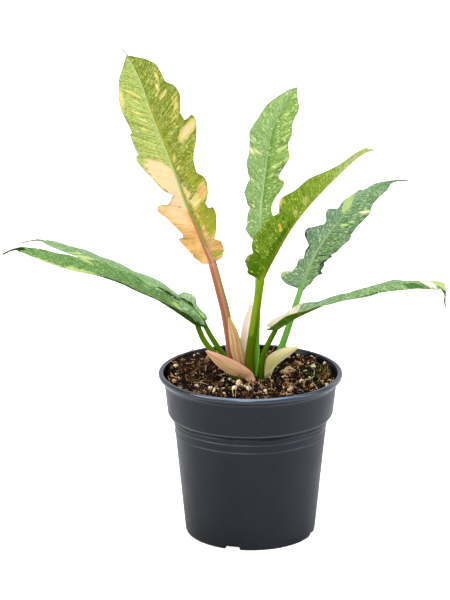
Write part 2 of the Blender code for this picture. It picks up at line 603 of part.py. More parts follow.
def make_leaves(group):
    for name, leaf in LEAVES.items():
        add_object(name, mesh_from_rings(name, leaf_rings(leaf)), group,
                   material(name.replace("_", " "), LEAF_COLOURS[name], 0.42))


def make_scales(group):
    lying = [(x, y, soil_height(x, y) + above) for x, y, above in SCRAP["path"]]
    for name, scale in [*SCALES.items(), ("dry_scrap", {**SCRAP, "path": lying})]:
        add_object(name, mesh_from_rings(name, scale_rings(scale)), group,
                   material(name.replace("_", " "), scale["colour"], 0.6))


clear_scene()
plant = new_collection("potted ring of fire gold philodendron")
helpers = new_collection("cutters", hidden=True)
make_pot(plant, helpers)
make_soil(plant)
make_stem(plant)
make_leaves(plant)
make_scales(plant)
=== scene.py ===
"""Looks of the potted ring of fire gold philodendron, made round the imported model.

The file follows the plant as it is put together: the studio, the pot, the potting mix, the crown,
the seven leaves, the bud scales, and last the loose bits on the mix. Lengths are millimetres, and
MM turns them into metres where a mesh is made. -Y is the front.
"""

import math

import bmesh
import bpy
import numpy as np
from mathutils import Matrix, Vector, noise


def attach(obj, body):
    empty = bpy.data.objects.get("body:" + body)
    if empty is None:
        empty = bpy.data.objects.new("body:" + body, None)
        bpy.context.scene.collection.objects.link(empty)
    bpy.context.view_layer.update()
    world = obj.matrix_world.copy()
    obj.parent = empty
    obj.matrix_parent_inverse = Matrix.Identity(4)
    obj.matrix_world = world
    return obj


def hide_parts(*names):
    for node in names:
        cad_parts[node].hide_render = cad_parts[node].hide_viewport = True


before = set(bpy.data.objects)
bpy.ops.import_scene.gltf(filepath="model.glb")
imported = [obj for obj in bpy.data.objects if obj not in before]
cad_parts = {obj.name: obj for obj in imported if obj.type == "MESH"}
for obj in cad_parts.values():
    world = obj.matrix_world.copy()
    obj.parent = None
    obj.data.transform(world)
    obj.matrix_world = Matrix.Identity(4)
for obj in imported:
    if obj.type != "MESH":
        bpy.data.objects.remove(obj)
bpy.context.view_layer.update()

# Studio. The photo is a plant on a white sweep, shot from 2.3 m away, a little from above, in
# broad soft light. A large soft box at the upper left is the key; the right is lit more coolly.
MM = 0.001
CAMERA_PLACE = (0, -2.340, 0.866)
CAMERA_TILT, CAMERA_TURN = 73.185, 0.41
LENS = 224.5
PLANT_MIDDLE = Vector((0, 0, 0.17))
# Each soft box: name, place in metres, side in metres, watts and colour.
LAMPS = (("key", (-1.9, -0.9, 1.3), 1.2, 54, "#fffaf0"),
         ("front", (-0.4, -2.6, 0.9), 1.0, 34, "#fff8ee"),
         ("fill", (1.9, -0.5, 0.9), 1.1, 24, "#dbe8ff"),
         ("top", (0.2, 0.3, 2.1), 1.2, 23, "#f2f6ff"),
         ("back", (1.3, 1.5, 0.9), 1.0, 7, "#eaf2ff"))
FLOOR_HALF, FLOOR_DROP = 3000.0, 0.2


def srgb(code):
    """Linear colour of an sRGB hex code."""
    parts = [int(code[k:k + 2], 16) / 255 for k in (1, 3, 5)]
    return (*(c / 12.92 if c <= 0.04045 else ((c + 0.055) / 1.055) ** 2.4 for c in parts), 1.0)


def add(tree, kind, settings=None, inputs=None):
    """A shader node with its settings; each input is a value, or a socket to link from.

    The setting "stops" gives a colour ramp its (position, hex colour) stops.
    """
    made = tree.nodes.new("ShaderNode" + kind)
    for key, value in (settings or {}).items():
        if key == "stops":
            elements = made.color_ramp.elements
            for position, _ in value[2:]:
                elements.new(position)
            for element, (position, colour) in zip(elements, value):
                element.position, element.color = position, srgb(colour)
        else:
            setattr(made, key, value)
    for key, value in (inputs or {}).items():
        if isinstance(value, bpy.types.NodeSocket):
            tree.links.new(value, made.inputs[key])
        else:
            made.inputs[key].default_value = value
    return made


def new_tree(name):
    """A material of this name with an empty node tree, and its output node."""
    finish = bpy.data.materials.new(name)
    finish.use_nodes = True
    tree = finish.node_tree
    tree.nodes.clear()
    return finish, tree, add(tree, "OutputMaterial")


scene = bpy.context.scene
scene.view_settings.view_transform = "Standard"
scene.view_settings.look = "None"

camera = bpy.data.objects.new("camera", bpy.data.cameras.new("camera"))
scene.collection.objects.link(camera)
camera.location = CAMERA_PLACE
camera.rotation_euler = (math.radians(CAMERA_TILT), 0, math.radians(CAMERA_TURN))
camera.data.lens = LENS
scene.camera = camera

# The sweep behind the plant is bright and the room in front of it is dim.
world = bpy.data.worlds.new("white studio")
world.use_nodes = True
tree = world.node_tree
tree.nodes.clear()
heading = add(tree, "TexCoord").outputs["Generated"]
depth = add(tree, "SeparateXYZ", inputs={0: heading}).outputs[1]
level = add(tree, "MapRange", inputs={0: depth, 1: -0.6, 2: 0.9, 3: 0.28, 4: 1.0})
lighting = add(tree, "Background", inputs={"Color": srgb("#eef3ff"),
                                           "Strength": level.outputs[0]})
seen = add(tree, "Background", inputs={"Color": (1, 1, 1, 1), "Strength": 1.0})
ray = add(tree, "LightPath").outputs["Is Camera Ray"]
both = add(tree, "MixShader", inputs={0: ray, 1: lighting.outputs[0], 2: seen.outputs[0]})
add(tree, "OutputWorld", inputs={"Surface": both.outputs[0]})
scene.world = world

for name, place, size, power, colour in LAMPS:
    lamp = bpy.data.objects.new(name, bpy.data.lights.new(name, "AREA"))
    scene.collection.objects.link(lamp)
    lamp.data.size, lamp.data.energy, lamp.data.color = size, power, srgb(colour)[:3]
    lamp.location = place
    aim = PLANT_MIDDLE - lamp.location
    lamp.rotation_euler = aim.to_track_quat("-Z", "Y").to_euler()

floor_mesh = bpy.data.meshes.new("floor")
floor_mesh.from_pydata([(x * FLOOR_HALF * MM, y * FLOOR_HALF * MM, -FLOOR_DROP * MM)
                        for x, y in ((-1, -1), (1, -1), (1, 1), (-1, 1))], [], [(0, 1, 2, 3)])
floor = bpy.data.objects.new("floor", floor_mesh)
scene.collection.objects.link(floor)
# White acrylic light table. It shines towards the camera, so the plant throws hardly any shadow.
finish, tree, output = new_tree("white acrylic light table")
grain = add(tree, "TexNoise", inputs={"Scale": 40.0})
tint = add(tree, "ValToRGB", {"stops": [(0, "#e8e8e8"), (1, "#f0f0f0")]}, {0: grain.outputs[0]})
acrylic = add(tree, "BsdfDiffuse", inputs={"Color": tint.outputs[0], "Roughness": 0.5})
shine = add(tree, "Emission", inputs={"Color": (1, 1, 1, 1), "Strength": 0.75})
lit = add(tree, "AddShader", inputs={0: acrylic.outputs[0], 1: shine.outputs[0]})
ray = add(tree, "LightPath").outputs["Is Camera Ray"]
both = add(tree, "MixShader", inputs={0: ray, 1: acrylic.outputs[0], 2: lit.outputs[0]})
tree.links.new(both.outputs[0], output.inputs[0])
floor_mesh.materials.append(finish)

# Pot. A 12 cm grower's pot, injection moulded in one piece from charcoal polypropylene: a rolled
# lip, a collar for stacking, three stiffening ridges, and a foot with four notches and eight
# drains.
POT_STEPS = 180
POT_HEIGHT = 110.0
RIM_RADIUS = 60.5
LIP_Z = 104.8
INNER_LIP_Z = 104
COLLAR_TOP_RADIUS, COLLAR_FOOT_RADIUS, COLLAR_FOOT_Z = 56.7, 54.4, 82.5
BODY_TOP_RADIUS, BODY_TOP_Z, BASE_RADIUS = 50.4, 78.0, 42.7
WALL = 1.3
RIDGES = ((78.4, 0.5), (75.0, 0.4), (69.5, 0.4))
FLOOR = 1.6
CHANNEL_INNER, CHANNEL_OUTER, CHANNEL_DEPTH = 25.5, 36.5, 2.5
NOTCH_COUNT, NOTCH_WIDTH, NOTCH_HEIGHT, FIRST_NOTCH_ANGLE = 4, 10.6, 2.6, -106.0
DRAIN_COUNT, DRAIN_RADIUS, DRAIN_CIRCLE = 8, 3.0, 31.0
# How far the cutters reach past the wall, and how long those of the drains are.
CUT_PAST, DRAIN_CUT = 2, 8
# Highlights painted as grey lines round the outside: (height, half width, grey), and the band
# they lie in.
HIGHLIGHT_LINES = ((69.7, 0.5, "#646464"), (75.2, 0.5, "#686868"), (82.3, 0.7, "#808080"))
HIGHLIGHT_LINES_FROM, HIGHLIGHT_LINES_TO = 65.0, 85.0


def body_radius(z):
    return BASE_RADIUS + (BODY_TOP_RADIUS - BASE_RADIUS) * z / BODY_TOP_Z


def collar_radius(z):
    share = (z - COLLAR_FOOT_Z) / (LIP_Z - COLLAR_FOOT_Z)
    return COLLAR_FOOT_RADIUS + (COLLAR_TOP_RADIUS - COLLAR_FOOT_RADIUS) * share


def filleted(corners, steps=5):
    """Closed outline with each corner (radius, height, fillet) rounded by its fillet."""
    outline = []
    for k, (r, z, fillet) in enumerate(corners):
        here = np.array([r, z])
        before = np.array(corners[k - 1][:2]) - here
        after = np.array(corners[(k + 1) % len(corners)][:2]) - here
        cut = min(fillet, 0.45 * np.hypot(*before), 0.45 * np.hypot(*after))
        if cut < 0.02:
            outline.append((r, z))
            continue
        start = here + before / np.hypot(*before) * cut
        end = here + after / np.hypot(*after) * cut
        for t in np.linspace(0, 1, steps):
            outline.append(tuple((1 - t) ** 2 * start + 2 * t * (1 - t) * here + t * t * end))
    return outline


def pot_outline():
    """Corners from the crest of the lip down the outside, over the floor and up the inside."""
    corners = [(RIM_RADIUS - 0.05, POT_HEIGHT, 1.4), (RIM_RADIUS, LIP_Z + 2.3, 1.2),
               (collar_radius(LIP_Z) + 1.0, LIP_Z + 0.4, 1.0),
               (collar_radius(LIP_Z) - 0.1, LIP_Z - 2.0, 1.0),
               (COLLAR_FOOT_RADIUS, COLLAR_FOOT_Z - 0.4, 2.0),
               (BODY_TOP_RADIUS + 0.7, COLLAR_FOOT_Z - 2.8, 0.5)]
    for z, proud in RIDGES:
        corners += [(body_radius(z) + 0.02, z + 0.75, 0.2), (body_radius(z) + proud, z, 0.35),
                    (body_radius(z) + 0.02, z - 0.75, 0.2)]
    corners += [(body_radius(2.0), 2.0, 1.2), (BASE_RADIUS - 0.7, 0, 0.8),
                (CHANNEL_OUTER, 0, 0.5), (CHANNEL_OUTER - 0.4, CHANNEL_DEPTH, 0.4),
                (CHANNEL_INNER + 0.4, CHANNEL_DEPTH, 0.4), (CHANNEL_INNER, 0, 0.5), (0, 0, 0),
                (0, FLOOR, 0), (CHANNEL_INNER - WALL, FLOOR, 0.5),
                (CHANNEL_INNER - 0.6, FLOOR + CHANNEL_DEPTH, 0.4),
                (CHANNEL_OUTER + 0.6, FLOOR + CHANNEL_DEPTH, 0.4),
                (CHANNEL_OUTER + WALL, FLOOR, 0.4), (body_radius(FLOOR) - WALL, FLOOR, 1.0),
                (body_radius(BODY_TOP_Z) - WALL, BODY_TOP_Z + 0.6, 1.0),
                (COLLAR_FOOT_RADIUS - WALL, COLLAR_FOOT_Z - 0.6, 1.5),
                (collar_radius(INNER_LIP_Z) - WALL, INNER_LIP_Z, 1.0),
                (RIM_RADIUS - 3.1, POT_HEIGHT, 1.0)]
    return corners


def from_bmesh(name, bm):
    mesh = bpy.data.meshes.new(name)
    bm.to_mesh(mesh)
    bm.free()
    piece = bpy.data.objects.new(name, mesh)
    scene.collection.objects.link(piece)
    return piece


def turn(name, outline, steps):
    """Solid of revolution about Z; points on the axis are shared by all steps."""
    bm = bmesh.new()
    columns = []
    poles = [bm.verts.new((0, 0, z * MM)) if r < 1e-6 else None for r, z in outline]
    for k in range(steps):
        angle = 2 * math.pi * k / steps
        columns.append([pole or bm.verts.new((r * MM * math.cos(angle), r * MM * math.sin(angle),
                                              z * MM)) for pole, (r, z) in zip(poles, outline)])
    for near, far in zip(columns, columns[1:] + columns[:1]):
        for a, b, c, d in zip(near, near[1:] + near[:1], far[1:] + far[:1], far):
            corners = list(dict.fromkeys((a, b, c, d)))
            if len(corners) > 2:
                bm.faces.new(corners)
    bmesh.ops.recalc_face_normals(bm, faces=bm.faces)
    return from_bmesh(name, bm)


def cut_away(piece, cutter):
    """Cuts the cutter out of the piece for good, and deletes the cutter."""
    boolean = piece.modifiers.new("cut", "BOOLEAN")
    boolean.operation, boolean.solver, boolean.object = "DIFFERENCE", "EXACT", cutter
    done = bpy.data.meshes.new_from_object(
        piece.evaluated_get(bpy.context.evaluated_depsgraph_get()))
    piece.modifiers.clear()
    piece.data = done
    bpy.data.objects.remove(cutter, do_unlink=True)


def pot_cutters():
    """The foot's notches and the drain holes, as one set of separate closed bodies."""
    bm = bmesh.new()
    for k in range(NOTCH_COUNT):
        angle = math.radians(FIRST_NOTCH_ANGLE + 360 / NOTCH_COUNT * k)
        outward = Vector((math.cos(angle), math.sin(angle)))
        across = Vector((-outward.y, outward.x))
        corners = []
        for z, half in ((-1, NOTCH_WIDTH / 2 + 0.4), (NOTCH_HEIGHT, NOTCH_WIDTH / 2 - 0.6)):
            for r, side in ((CHANNEL_OUTER - CUT_PAST, -1), (BASE_RADIUS + CUT_PAST, -1),
                            (BASE_RADIUS + CUT_PAST, 1), (CHANNEL_OUTER - CUT_PAST, 1)):
                place = outward * r + across * half * side
                corners.append(bm.verts.new((place.x * MM, place.y * MM, z * MM)))
        low, high = corners[:4], corners[4:]
        bm.faces.new(low[::-1])
        bm.faces.new(high)
        for j in range(4):
            bm.faces.new((low[j], low[(j + 1) % 4], high[(j + 1) % 4], high[j]))
    for k in range(DRAIN_COUNT):
        angle = math.radians(360 / DRAIN_COUNT * (k + 0.5))
        made = bmesh.ops.create_cone(bm, cap_ends=True, segments=32, radius1=DRAIN_RADIUS * MM,
                                     radius2=DRAIN_RADIUS * MM, depth=DRAIN_CUT * MM)
        for vert in made["verts"]:
            vert.co += Vector((DRAIN_CIRCLE * MM * math.cos(angle),
                               DRAIN_CIRCLE * MM * math.sin(angle), CUT_PAST * MM))
    return from_bmesh("pot cutters", bm)


def polypropylene():
    """Charcoal polypropylene, injection moulded: satin, with a fine spark-eroded grain, faint
    flow clouds, a little dust outside, painted shade that darkens the inside, painted highlights
    in grey lines on the collar's foot and two ridges, and a pale painted highlight along the
    front of the lip."""
    finish, tree, output = new_tree("moulded charcoal polypropylene")
    where = add(tree, "TexCoord").outputs["Object"]
    height = add(tree, "SeparateXYZ", inputs={0: where}).outputs[2]
    # Flow clouds 15 to 25 mm across.
    clouds = add(tree, "TexNoise", inputs={"Vector": where, "Scale": 55.0, "Detail": 6.0})
    plastic = add(tree, "ValToRGB", {"stops": [(0.3, "#06080b"), (0.7, "#0e1116")]},
                  {0: clouds.outputs[0]})
    # Dust in specks of about 1 mm, only on the outside.
    specks = add(tree, "TexNoise", inputs={"Vector": where, "Scale": 900.0, "Detail": 4.0,
                                           "Roughness": 0.7})
    drift = add(tree, "TexNoise", inputs={"Vector": where, "Scale": 90.0, "Detail": 2.0})
    level = add(tree, "Math", {"operation": "MULTIPLY_ADD"},
                {0: drift.outputs[0], 1: 0.28, 2: specks.outputs[0]})
    dusty = add(tree, "MapRange", inputs={0: level.outputs[0], 1: 0.78, 2: 0.95, 3: 0.0, 4: 0.2})
    outward = add(tree, "VectorMath", {"operation": "MULTIPLY"},
                  {0: where, 1: (1, 1, 0)}).outputs[0]
    outside = add(tree, "VectorMath", {"operation": "DOT_PRODUCT"}, {
        0: outward, 1: add(tree, "NewGeometry").outputs["Normal"]}).outputs["Value"]
    outside = add(tree, "MapRange", inputs={0: outside, 1: -0.045, 2: -0.02}).outputs[0]
    below_lip = add(tree, "MapRange", inputs={0: height, 1: (LIP_Z - 1.8) * MM,
                                              2: (LIP_Z + 1.2) * MM, 3: 1.0, 4: 0.0})
    dusty = add(tree, "Math", {"operation": "MULTIPLY"},
                {0: dusty.outputs[0], 1: below_lip.outputs[0]})
    coat = add(tree, "Mix", {"data_type": "RGBA"}, {0: dusty.outputs[0], 6: plastic.outputs[0],
                                                   7: srgb("#8b7a66")})
    # Painted shade: the inside of the wall is a darker, even charcoal.
    coat = add(tree, "Mix", {"data_type": "RGBA"}, {0: outside, 6: srgb("#05070c"),
                                                   7: coat.outputs[2]})
    # Painted highlights turn the collar's foot and the crests of two ridges grey, in lines 1 mm
    # wide.
    level = add(tree, "MapRange", inputs={0: height, 1: HIGHLIGHT_LINES_FROM * MM,
                                          2: HIGHLIGHT_LINES_TO * MM}).outputs[0]
    stops = [((z + step * half - HIGHLIGHT_LINES_FROM) / (HIGHLIGHT_LINES_TO - HIGHLIGHT_LINES_FROM),
              "#000000" if step else grey)
             for z, half, grey in HIGHLIGHT_LINES for step in (-1, 0, 1)]
    painted_highlight_lines = add(tree, "ValToRGB", {"stops": stops}, {0: level}).outputs[0]
    coat = add(tree, "Mix", {"data_type": "RGBA"}, {0: painted_highlight_lines, 6: coat.outputs[2],
                                                   7: srgb("#8c9096")})
    # A pale blue painted highlight on the top millimetre of the lip, along its front.
    crest = add(tree, "MapRange", inputs={0: height, 1: (POT_HEIGHT - 1.1) * MM,
                                          2: (POT_HEIGHT - 0.2) * MM, 3: 0.0, 4: 0.8})
    depth = add(tree, "SeparateXYZ", inputs={0: where}).outputs[1]
    front = add(tree, "MapRange", inputs={0: depth, 1: -0.048, 2: -0.058})
    painted_lip_highlight = add(tree, "Math", {"operation": "MULTIPLY"},
                   {0: crest.outputs[0], 1: front.outputs[0]})
    coat = add(tree, "Mix", {"data_type": "RGBA"}, {0: painted_lip_highlight.outputs[0], 6: coat.outputs[2],
                                                   7: srgb("#7088a4")})
    # Mould grain, drawn at 0.5 mm so that it shows; the real one is about 0.1 mm.
    grain = add(tree, "TexNoise", inputs={"Vector": where, "Scale": 2000.0, "Detail": 2.0})
    bump = add(tree, "Bump", inputs={"Strength": 0.25, "Distance": 0.0001,
                                     "Height": grain.outputs[0]})
    rough = add(tree, "MapRange", inputs={0: clouds.outputs[0], 1: 0.3, 2: 0.7, 3: 0.36, 4: 0.48})
    rough = add(tree, "Math", {"operation": "MULTIPLY_ADD"},
                {0: below_lip.outputs[0], 1: 0.2, 2: add(tree, "Math", {
                    "operation": "SUBTRACT"}, {0: rough.outputs[0], 1: 0.2}).outputs[0]})
    gloss = add(tree, "MapRange", inputs={0: outside, 3: 0.1, 4: 0.9})
    gloss = add(tree, "Math", {"operation": "MULTIPLY_ADD"},
                {0: below_lip.outputs[0], 1: -0.51, 2: gloss.outputs[0]})
    shell = add(tree, "BsdfPrincipled", inputs={
        "Base Color": coat.outputs[2], "Roughness": rough.outputs[0], "IOR": 1.49,
        "Specular IOR Level": gloss.outputs[0], "Specular Tint": srgb("#e0e8f6"),
        "Normal": bump.outputs[0]})
    tree.links.new(shell.outputs[0], output.inputs[0])
    return finish


pot = turn("moulded_pot", filleted(pot_outline()), POT_STEPS)
cut_away(pot, pot_cutters())
pot.data.shade_smooth()
pot.data.set_sharp_from_angle(angle=math.radians(40))
pot.data.materials.clear()
pot.data.materials.append(polypropylene())
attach(pot, "root")
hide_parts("pot")

# Potting mix. A moist crumbly body of coir, bark fines and pumice that fills the pot to just
# under the lip, a little higher at the left, with a shallow hollow round the crown.
SOIL_TOP = 105.0
SOIL_SLOPE = 1.2 / 55.0
SOIL_BOTTOM = 4.4
SOIL_RINGS, SOIL_STEPS = 100, 260
WALL_GAP = 0.5
SOIL_RADIUS = collar_radius(INNER_LIP_Z) - WALL - 0.15
CROWN_Y, CROWN_RADIUS = 6.0, 14.5
HOLLOW_RADIUS, HOLLOW_DEPTH = 21.0, 0.8
# The bank at the back: its height, where it starts, and how far it takes to rise outward and back.
BANK_HEIGHT, BANK_RADIUS, BANK_RISE, BANK_DEPTH = 3.2, 28, 20, 35
CRUMB_SIZE, PIT_SIZE = 5.0, 1.6


def mix_height(x, y):
    """Height of the mix at a place: slope, clods, the hollow and the bank at the back."""
    clods = (0.55 * math.sin(0.29 * x + 1.3) * math.cos(0.33 * y - 0.4)
             + 0.4 * math.sin(0.61 * x - 0.47 * y + 2.1)
             + 0.35 * math.cos(0.93 * x + 0.71 * y) * math.sin(0.52 * y + 0.9))
    from_crown = max(0, math.hypot(x, y - CROWN_Y) - CROWN_RADIUS)
    hollow = HOLLOW_DEPTH * max(0, 1 - from_crown / (HOLLOW_RADIUS - CROWN_RADIUS))
    bank = (min(1, max(0, y) / BANK_DEPTH)
            * min(1, max(0, math.hypot(x, y) - BANK_RADIUS) / BANK_RISE))
    return SOIL_TOP - SOIL_SLOPE * x + clods - hollow + BANK_HEIGHT * bank


def crumbled(x, y):
    """The same height with the crumb of the surface on it."""
    coarse = noise.fractal(Vector((x / CRUMB_SIZE, y / CRUMB_SIZE, 3.1)), 0.9, 2.1, 4)
    pits = noise.noise(Vector((x / PIT_SIZE, y / PIT_SIZE, 9.7)))
    return mix_height(x, y) - 0.7 + 1.2 * coarse + 0.8 * pits


def soil_mesh():
    """Top surface on rings, and the same closed wall and bottom as the pot's filling."""
    angles = 2 * math.pi * np.arange(SOIL_STEPS) / SOIL_STEPS
    rings = []
    for k in range(SOIL_RINGS + 1):
        r = SOIL_RADIUS * (k / SOIL_RINGS) ** 0.8
        rings.append([(r * math.cos(a), r * math.sin(a),
                       crumbled(r * math.cos(a), r * math.sin(a))) for a in angles])
    for outside, z in ((COLLAR_FOOT_RADIUS, COLLAR_FOOT_Z), (body_radius(BODY_TOP_Z), BODY_TOP_Z),
                       (body_radius(SOIL_BOTTOM), SOIL_BOTTOM)):
        r = outside - WALL - WALL_GAP
        rings.append([(r * math.cos(a), r * math.sin(a), z) for a in angles])
    bm = bmesh.new()
    rows = [[bm.verts.new([c * MM for c in point]) for point in ring] for ring in rings[1:]]
    middle = bm.verts.new([c * MM for c in rings[0][0]])
    for k in range(SOIL_STEPS):
        after = (k + 1) % SOIL_STEPS
        bm.faces.new((middle, rows[0][k], rows[0][after]))
        for near, far in zip(rows, rows[1:]):
            bm.faces.new((near[k], far[k], far[after], near[after]))
    bm.faces.new(rows[-1][::-1])
    return from_bmesh("potting_mix", bm)


def peat_and_coir():
    """Moist peat and coir fines: brown on the crumbs, no gloss, and painted shade that turns
    the gaps between the crumbs nearly black.
    """
    finish, tree, output = new_tree("moist peat and coir fines")
    where = add(tree, "TexCoord").outputs["Object"]
    # Crumbs of about 1.5 mm with fines of 0.4 mm between them.
    crumbs = add(tree, "TexVoronoi", inputs={"Vector": where, "Scale": 650.0, "Randomness": 1.0})
    fines = add(tree, "TexNoise", inputs={"Vector": where, "Scale": 1400.0, "Detail": 5.0,
                                          "Roughness": 0.7})
    level = add(tree, "Math", {"operation": "MULTIPLY_ADD"},
                {0: crumbs.outputs["Distance"], 1: -0.5, 2: fines.outputs[0]})
    # Darker towards the crumbs' edges: painted shade in the gaps between them.
    brown = add(tree, "ValToRGB", {"stops": [(0.15, "#040202"), (0.4, "#0c0603"),
                                             (0.6, "#22130a"), (0.75, "#5c3d22")]},
                {0: level.outputs[0]})
    bump = add(tree, "Bump", inputs={"Strength": 0.9, "Distance": 0.0006,
                                     "Height": level.outputs[0]})
    crumb = add(tree, "BsdfPrincipled", inputs={"Base Color": brown.outputs[0], "Roughness": 0.95,
                                                "Specular IOR Level": 0.1,
                                                "Normal": bump.outputs[0]})
    tree.links.new(crumb.outputs[0], output.inputs[0])
    return finish


soil = soil_mesh()
soil.data.shade_smooth()
soil.data.materials.append(peat_and_coir())
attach(soil, "root")
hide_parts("soil")

# Crown. The short green stub that all stalks and bud scales grow from. The mix hides it, so the
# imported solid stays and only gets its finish.
finish, tree, output = new_tree("green crown tissue")
where = add(tree, "TexCoord").outputs["Object"]
# Leaf scars ring the stub every 3 mm or so.
scars = add(tree, "TexNoise", inputs={"Vector": where, "Scale": 300.0, "Detail": 4.0})
tissue = add(tree, "ValToRGB", {"stops": [(0.35, "#6f8040"), (0.6, "#8f7a4c")]},
             {0: scars.outputs[0]})
bump = add(tree, "Bump", inputs={"Strength": 0.4, "Distance": 0.0004, "Height": scars.outputs[0]})
flesh = add(tree, "BsdfPrincipled", inputs={"Base Color": tissue.outputs[0], "Roughness": 0.55,
                                            "Normal": bump.outputs[0]})
tree.links.new(flesh.outputs[0], output.inputs[0])
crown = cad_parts["stem"]
crown.data.materials.clear()
crown.data.materials.append(finish)

# Leaves. Each grew in one piece: a round stalk with a shallow groove along its upper side, a
# midrib that stands out below and is sunken above, and a thin waxy blade with round lobes.
# Stalks and bud scales start this high, just under the surface of the mix.
FOOT_Z = 103.8
BLADE_THICKNESS = 0.45
# The base lobes, the first tenth of the blade, fan out from nearly one place on the rib.
BASE_FAN = 0.10
STALK_RINGS, BLADE_RINGS, RIB_STEPS = 44, 170, 400
COLUMNS = 13
RIB_SIDE_ANGLE = 62
# The round stalk turns into rib and blade within this share of the blade, and the rib's keel
# deepens over a longer one. The rib tapers to its radius at the tip.
BLEND, DEEPENING = 0.045, 0.12
RIB_SHARE, RIB_TAPER, RIB_TIP = 0.37, 2.6, 0.36
# The blade swells up between its side veins, which are drawn in, and sways slowly along the leaf.
SWELL, VEIN_DEPTH, VEIN_WIDTH, SWAY, SWAY_RUN = 0.3, 0.16, 0.8, 1.1, 16
# A ring runs from the left margin over the upper side to the right margin and back below. These
# are its points' angles round the stalk; on the blade, the five at the keel stand further apart.
TURNS = np.radians(np.concatenate([
    np.linspace(178, 100, COLUMNS), (95, 90, 85), np.linspace(80, 2, COLUMNS),
    np.linspace(-2, -90 + RIB_SIDE_ANGLE / 2, COLUMNS), (-75, -82, -90, -98, -105),
    np.linspace(-90 - RIB_SIDE_ANGLE / 2, -178, COLUMNS)]))
RING_SIZE = len(TURNS)
KEEL_ANGLES = np.radians((-25, -58, -90, -122, -155))
BLADE_TURNS = TURNS.copy()
BLADE_TURNS[3 * COLUMNS + 3:3 * COLUMNS + 8] = KEEL_ANGLES
# Off the blade, a point counts as this far from a margin or a side vein.
OFF_BLADE = 9.0
PATCH_KINDS = ("gold", "blush", "cream", "deep")
STRIPE_KINDS = ("stripe", "flush", "line")


def unit(vector):
    return vector / np.linalg.norm(vector)


def line_length(points):
    return np.linalg.norm(np.diff(points, axis=0), axis=1).sum()


def smooth_line(points, count):
    """This many places, evenly spaced along a smooth curve through the points."""
    p = np.array(points, float)
    p = np.vstack([2 * p[0] - p[1], p, 2 * p[-1] - p[-2]])
    fine = []
    for a, b, c, d in zip(p, p[1:], p[2:], p[3:]):
        for t in np.linspace(0, 1, 40, endpoint=False):
            fine.append(b + 0.5 * t * (c - a + t * (2 * a - 5 * b + 4 * c - d
                                                    + t * (3 * b - a - 3 * c + d))))
    fine = np.array(fine + [p[-2]])
    run = np.concatenate([[0], np.cumsum(np.linalg.norm(np.diff(fine, axis=0), axis=1))])
    places = np.linspace(0, run[-1], count)
    return np.column_stack([np.interp(places, run, fine[:, k]) for k in range(3)])


def along(rows, share, soft=0.03):
    """The rows' values at this share, in between the rows, with the bends softened."""
    shares = [row[0] for row in rows]
    near = np.clip(share + soft * np.linspace(-1, 1, 5), 0, 1)
    return np.array([np.interp(near, shares, [row[k] for row in rows]).mean()
                     for k in range(1, len(rows[0]))])


def margin(lobes, share):
    """How far the blade reaches: round lobes, with a sharp notch at each low row."""
    at = min(len(lobes) - 2, max(0, sum(row[0] < share for row in lobes) - 1))

    def secant(k):
        return (lobes[k + 1][1] - lobes[k][1]) / (lobes[k + 1][0] - lobes[k][0])

    def slope(k, side):
        """Slope on this side of row k."""
        if k in (0, len(lobes) - 1):
            return secant(max(0, k - 1))
        before, after = secant(k - 1), secant(k)
        if before >= 0 >= after:
            return 0.0
        if before <= 0 <= after:
            return before if side < 0 else after
        return 2 * before * after / (before + after)

    (start, low), (end, high) = lobes[at], lobes[at + 1]
    t = (share - start) / (end - start)
    rise, fall = slope(at, 1) * (end - start), slope(at + 1, -1) * (end - start)
    return max(0.0, low * (2 * t ** 3 - 3 * t ** 2 + 1) + rise * (t ** 3 - 2 * t ** 2 + t)
               + high * (3 * t ** 2 - 2 * t ** 3) + fall * (t ** 3 - t ** 2))


def lobe_phase(lobes, share):
    """1 on a lobe, -1 in a notch: how the reach differs from its mean over a tenth of the leaf."""
    near = [margin(lobes, min(1, max(0, share + step))) for step in (-0.05, -0.03, 0.03, 0.05)]
    return max(-1.0, min(1.0, (margin(lobes, share) - sum(near) / 4) / 2.5))


def side_veins(lobes):
    """Shares at which a side vein leaves the rib: one to each lobe's tip, and more in wide lobes."""
    tips = [lobes[k][0] for k in range(1, len(lobes) - 1)
            if lobes[k][1] >= max(lobes[k - 1][1], lobes[k + 1][1])] + [0.93]
    veins = [0.04]
    for tip in tips:
        parts = math.ceil((tip - veins[-1]) / 0.055)
        veins += [veins[-1] + (tip - veins[-1]) * k / parts for k in range(1, parts + 1)]
    return np.array(veins)


def blade_shares(leaf):
    """Shares of the blade that get a ring: every lobe, notch and side vein, and steps between."""
    knots = {0.0, 1.0}
    for side in ("left", "right"):
        knots |= {row[0] for row in leaf[side]} | set(side_veins(leaf[side]))
    knots |= set(np.linspace(0, 1, BLADE_RINGS))
    shares = [0.0]
    for knot in sorted(knots):
        if knot - shares[-1] > 0.25 / BLADE_RINGS:
            shares.append(knot)
    return shares[:-1] + [1.0]


def patch_field(patches, share, out):
    """1 in the middle of a patch, 0.5 at its edge and 0 well outside it."""
    best = np.zeros(np.shape(out))
    for at, across, half_run, half_out, strength in patches:
        away = np.hypot((share - at) / half_run, (out - across) / half_out)
        best = np.maximum(best, strength * (1 - 0.5 * away))
    return best


def stripe_field(stripes, run, angles):
    """1 in the middle of a lengthwise stripe; rows are (angle, half width, from, to)."""
    best = np.zeros(len(angles))
    for angle, half, start, end in stripes:
        away = np.abs((np.degrees(angles) - angle + 180) % 360 - 180) / half
        ends = np.clip((run - start) / 0.08, 0, 1) * np.clip((end - run) / 0.08, 0, 1)
        best = np.maximum(best, np.clip(1 - 0.5 * away, 0, 1) * ends)
    return best


def stalk_section(place, tangent, facing, radius):
    """A round section with the groove on its upper side."""
    forward = unit(tangent)
    up = unit(facing - forward * (facing @ forward))
    sideways = np.cross(forward, up)
    groove = 1 - 0.1 * np.exp(-((np.degrees(TURNS) - 90) / 28) ** 2)
    return place + radius * groove[:, None] * (np.cos(TURNS)[:, None] * sideways
                                               + np.sin(TURNS)[:, None] * up)


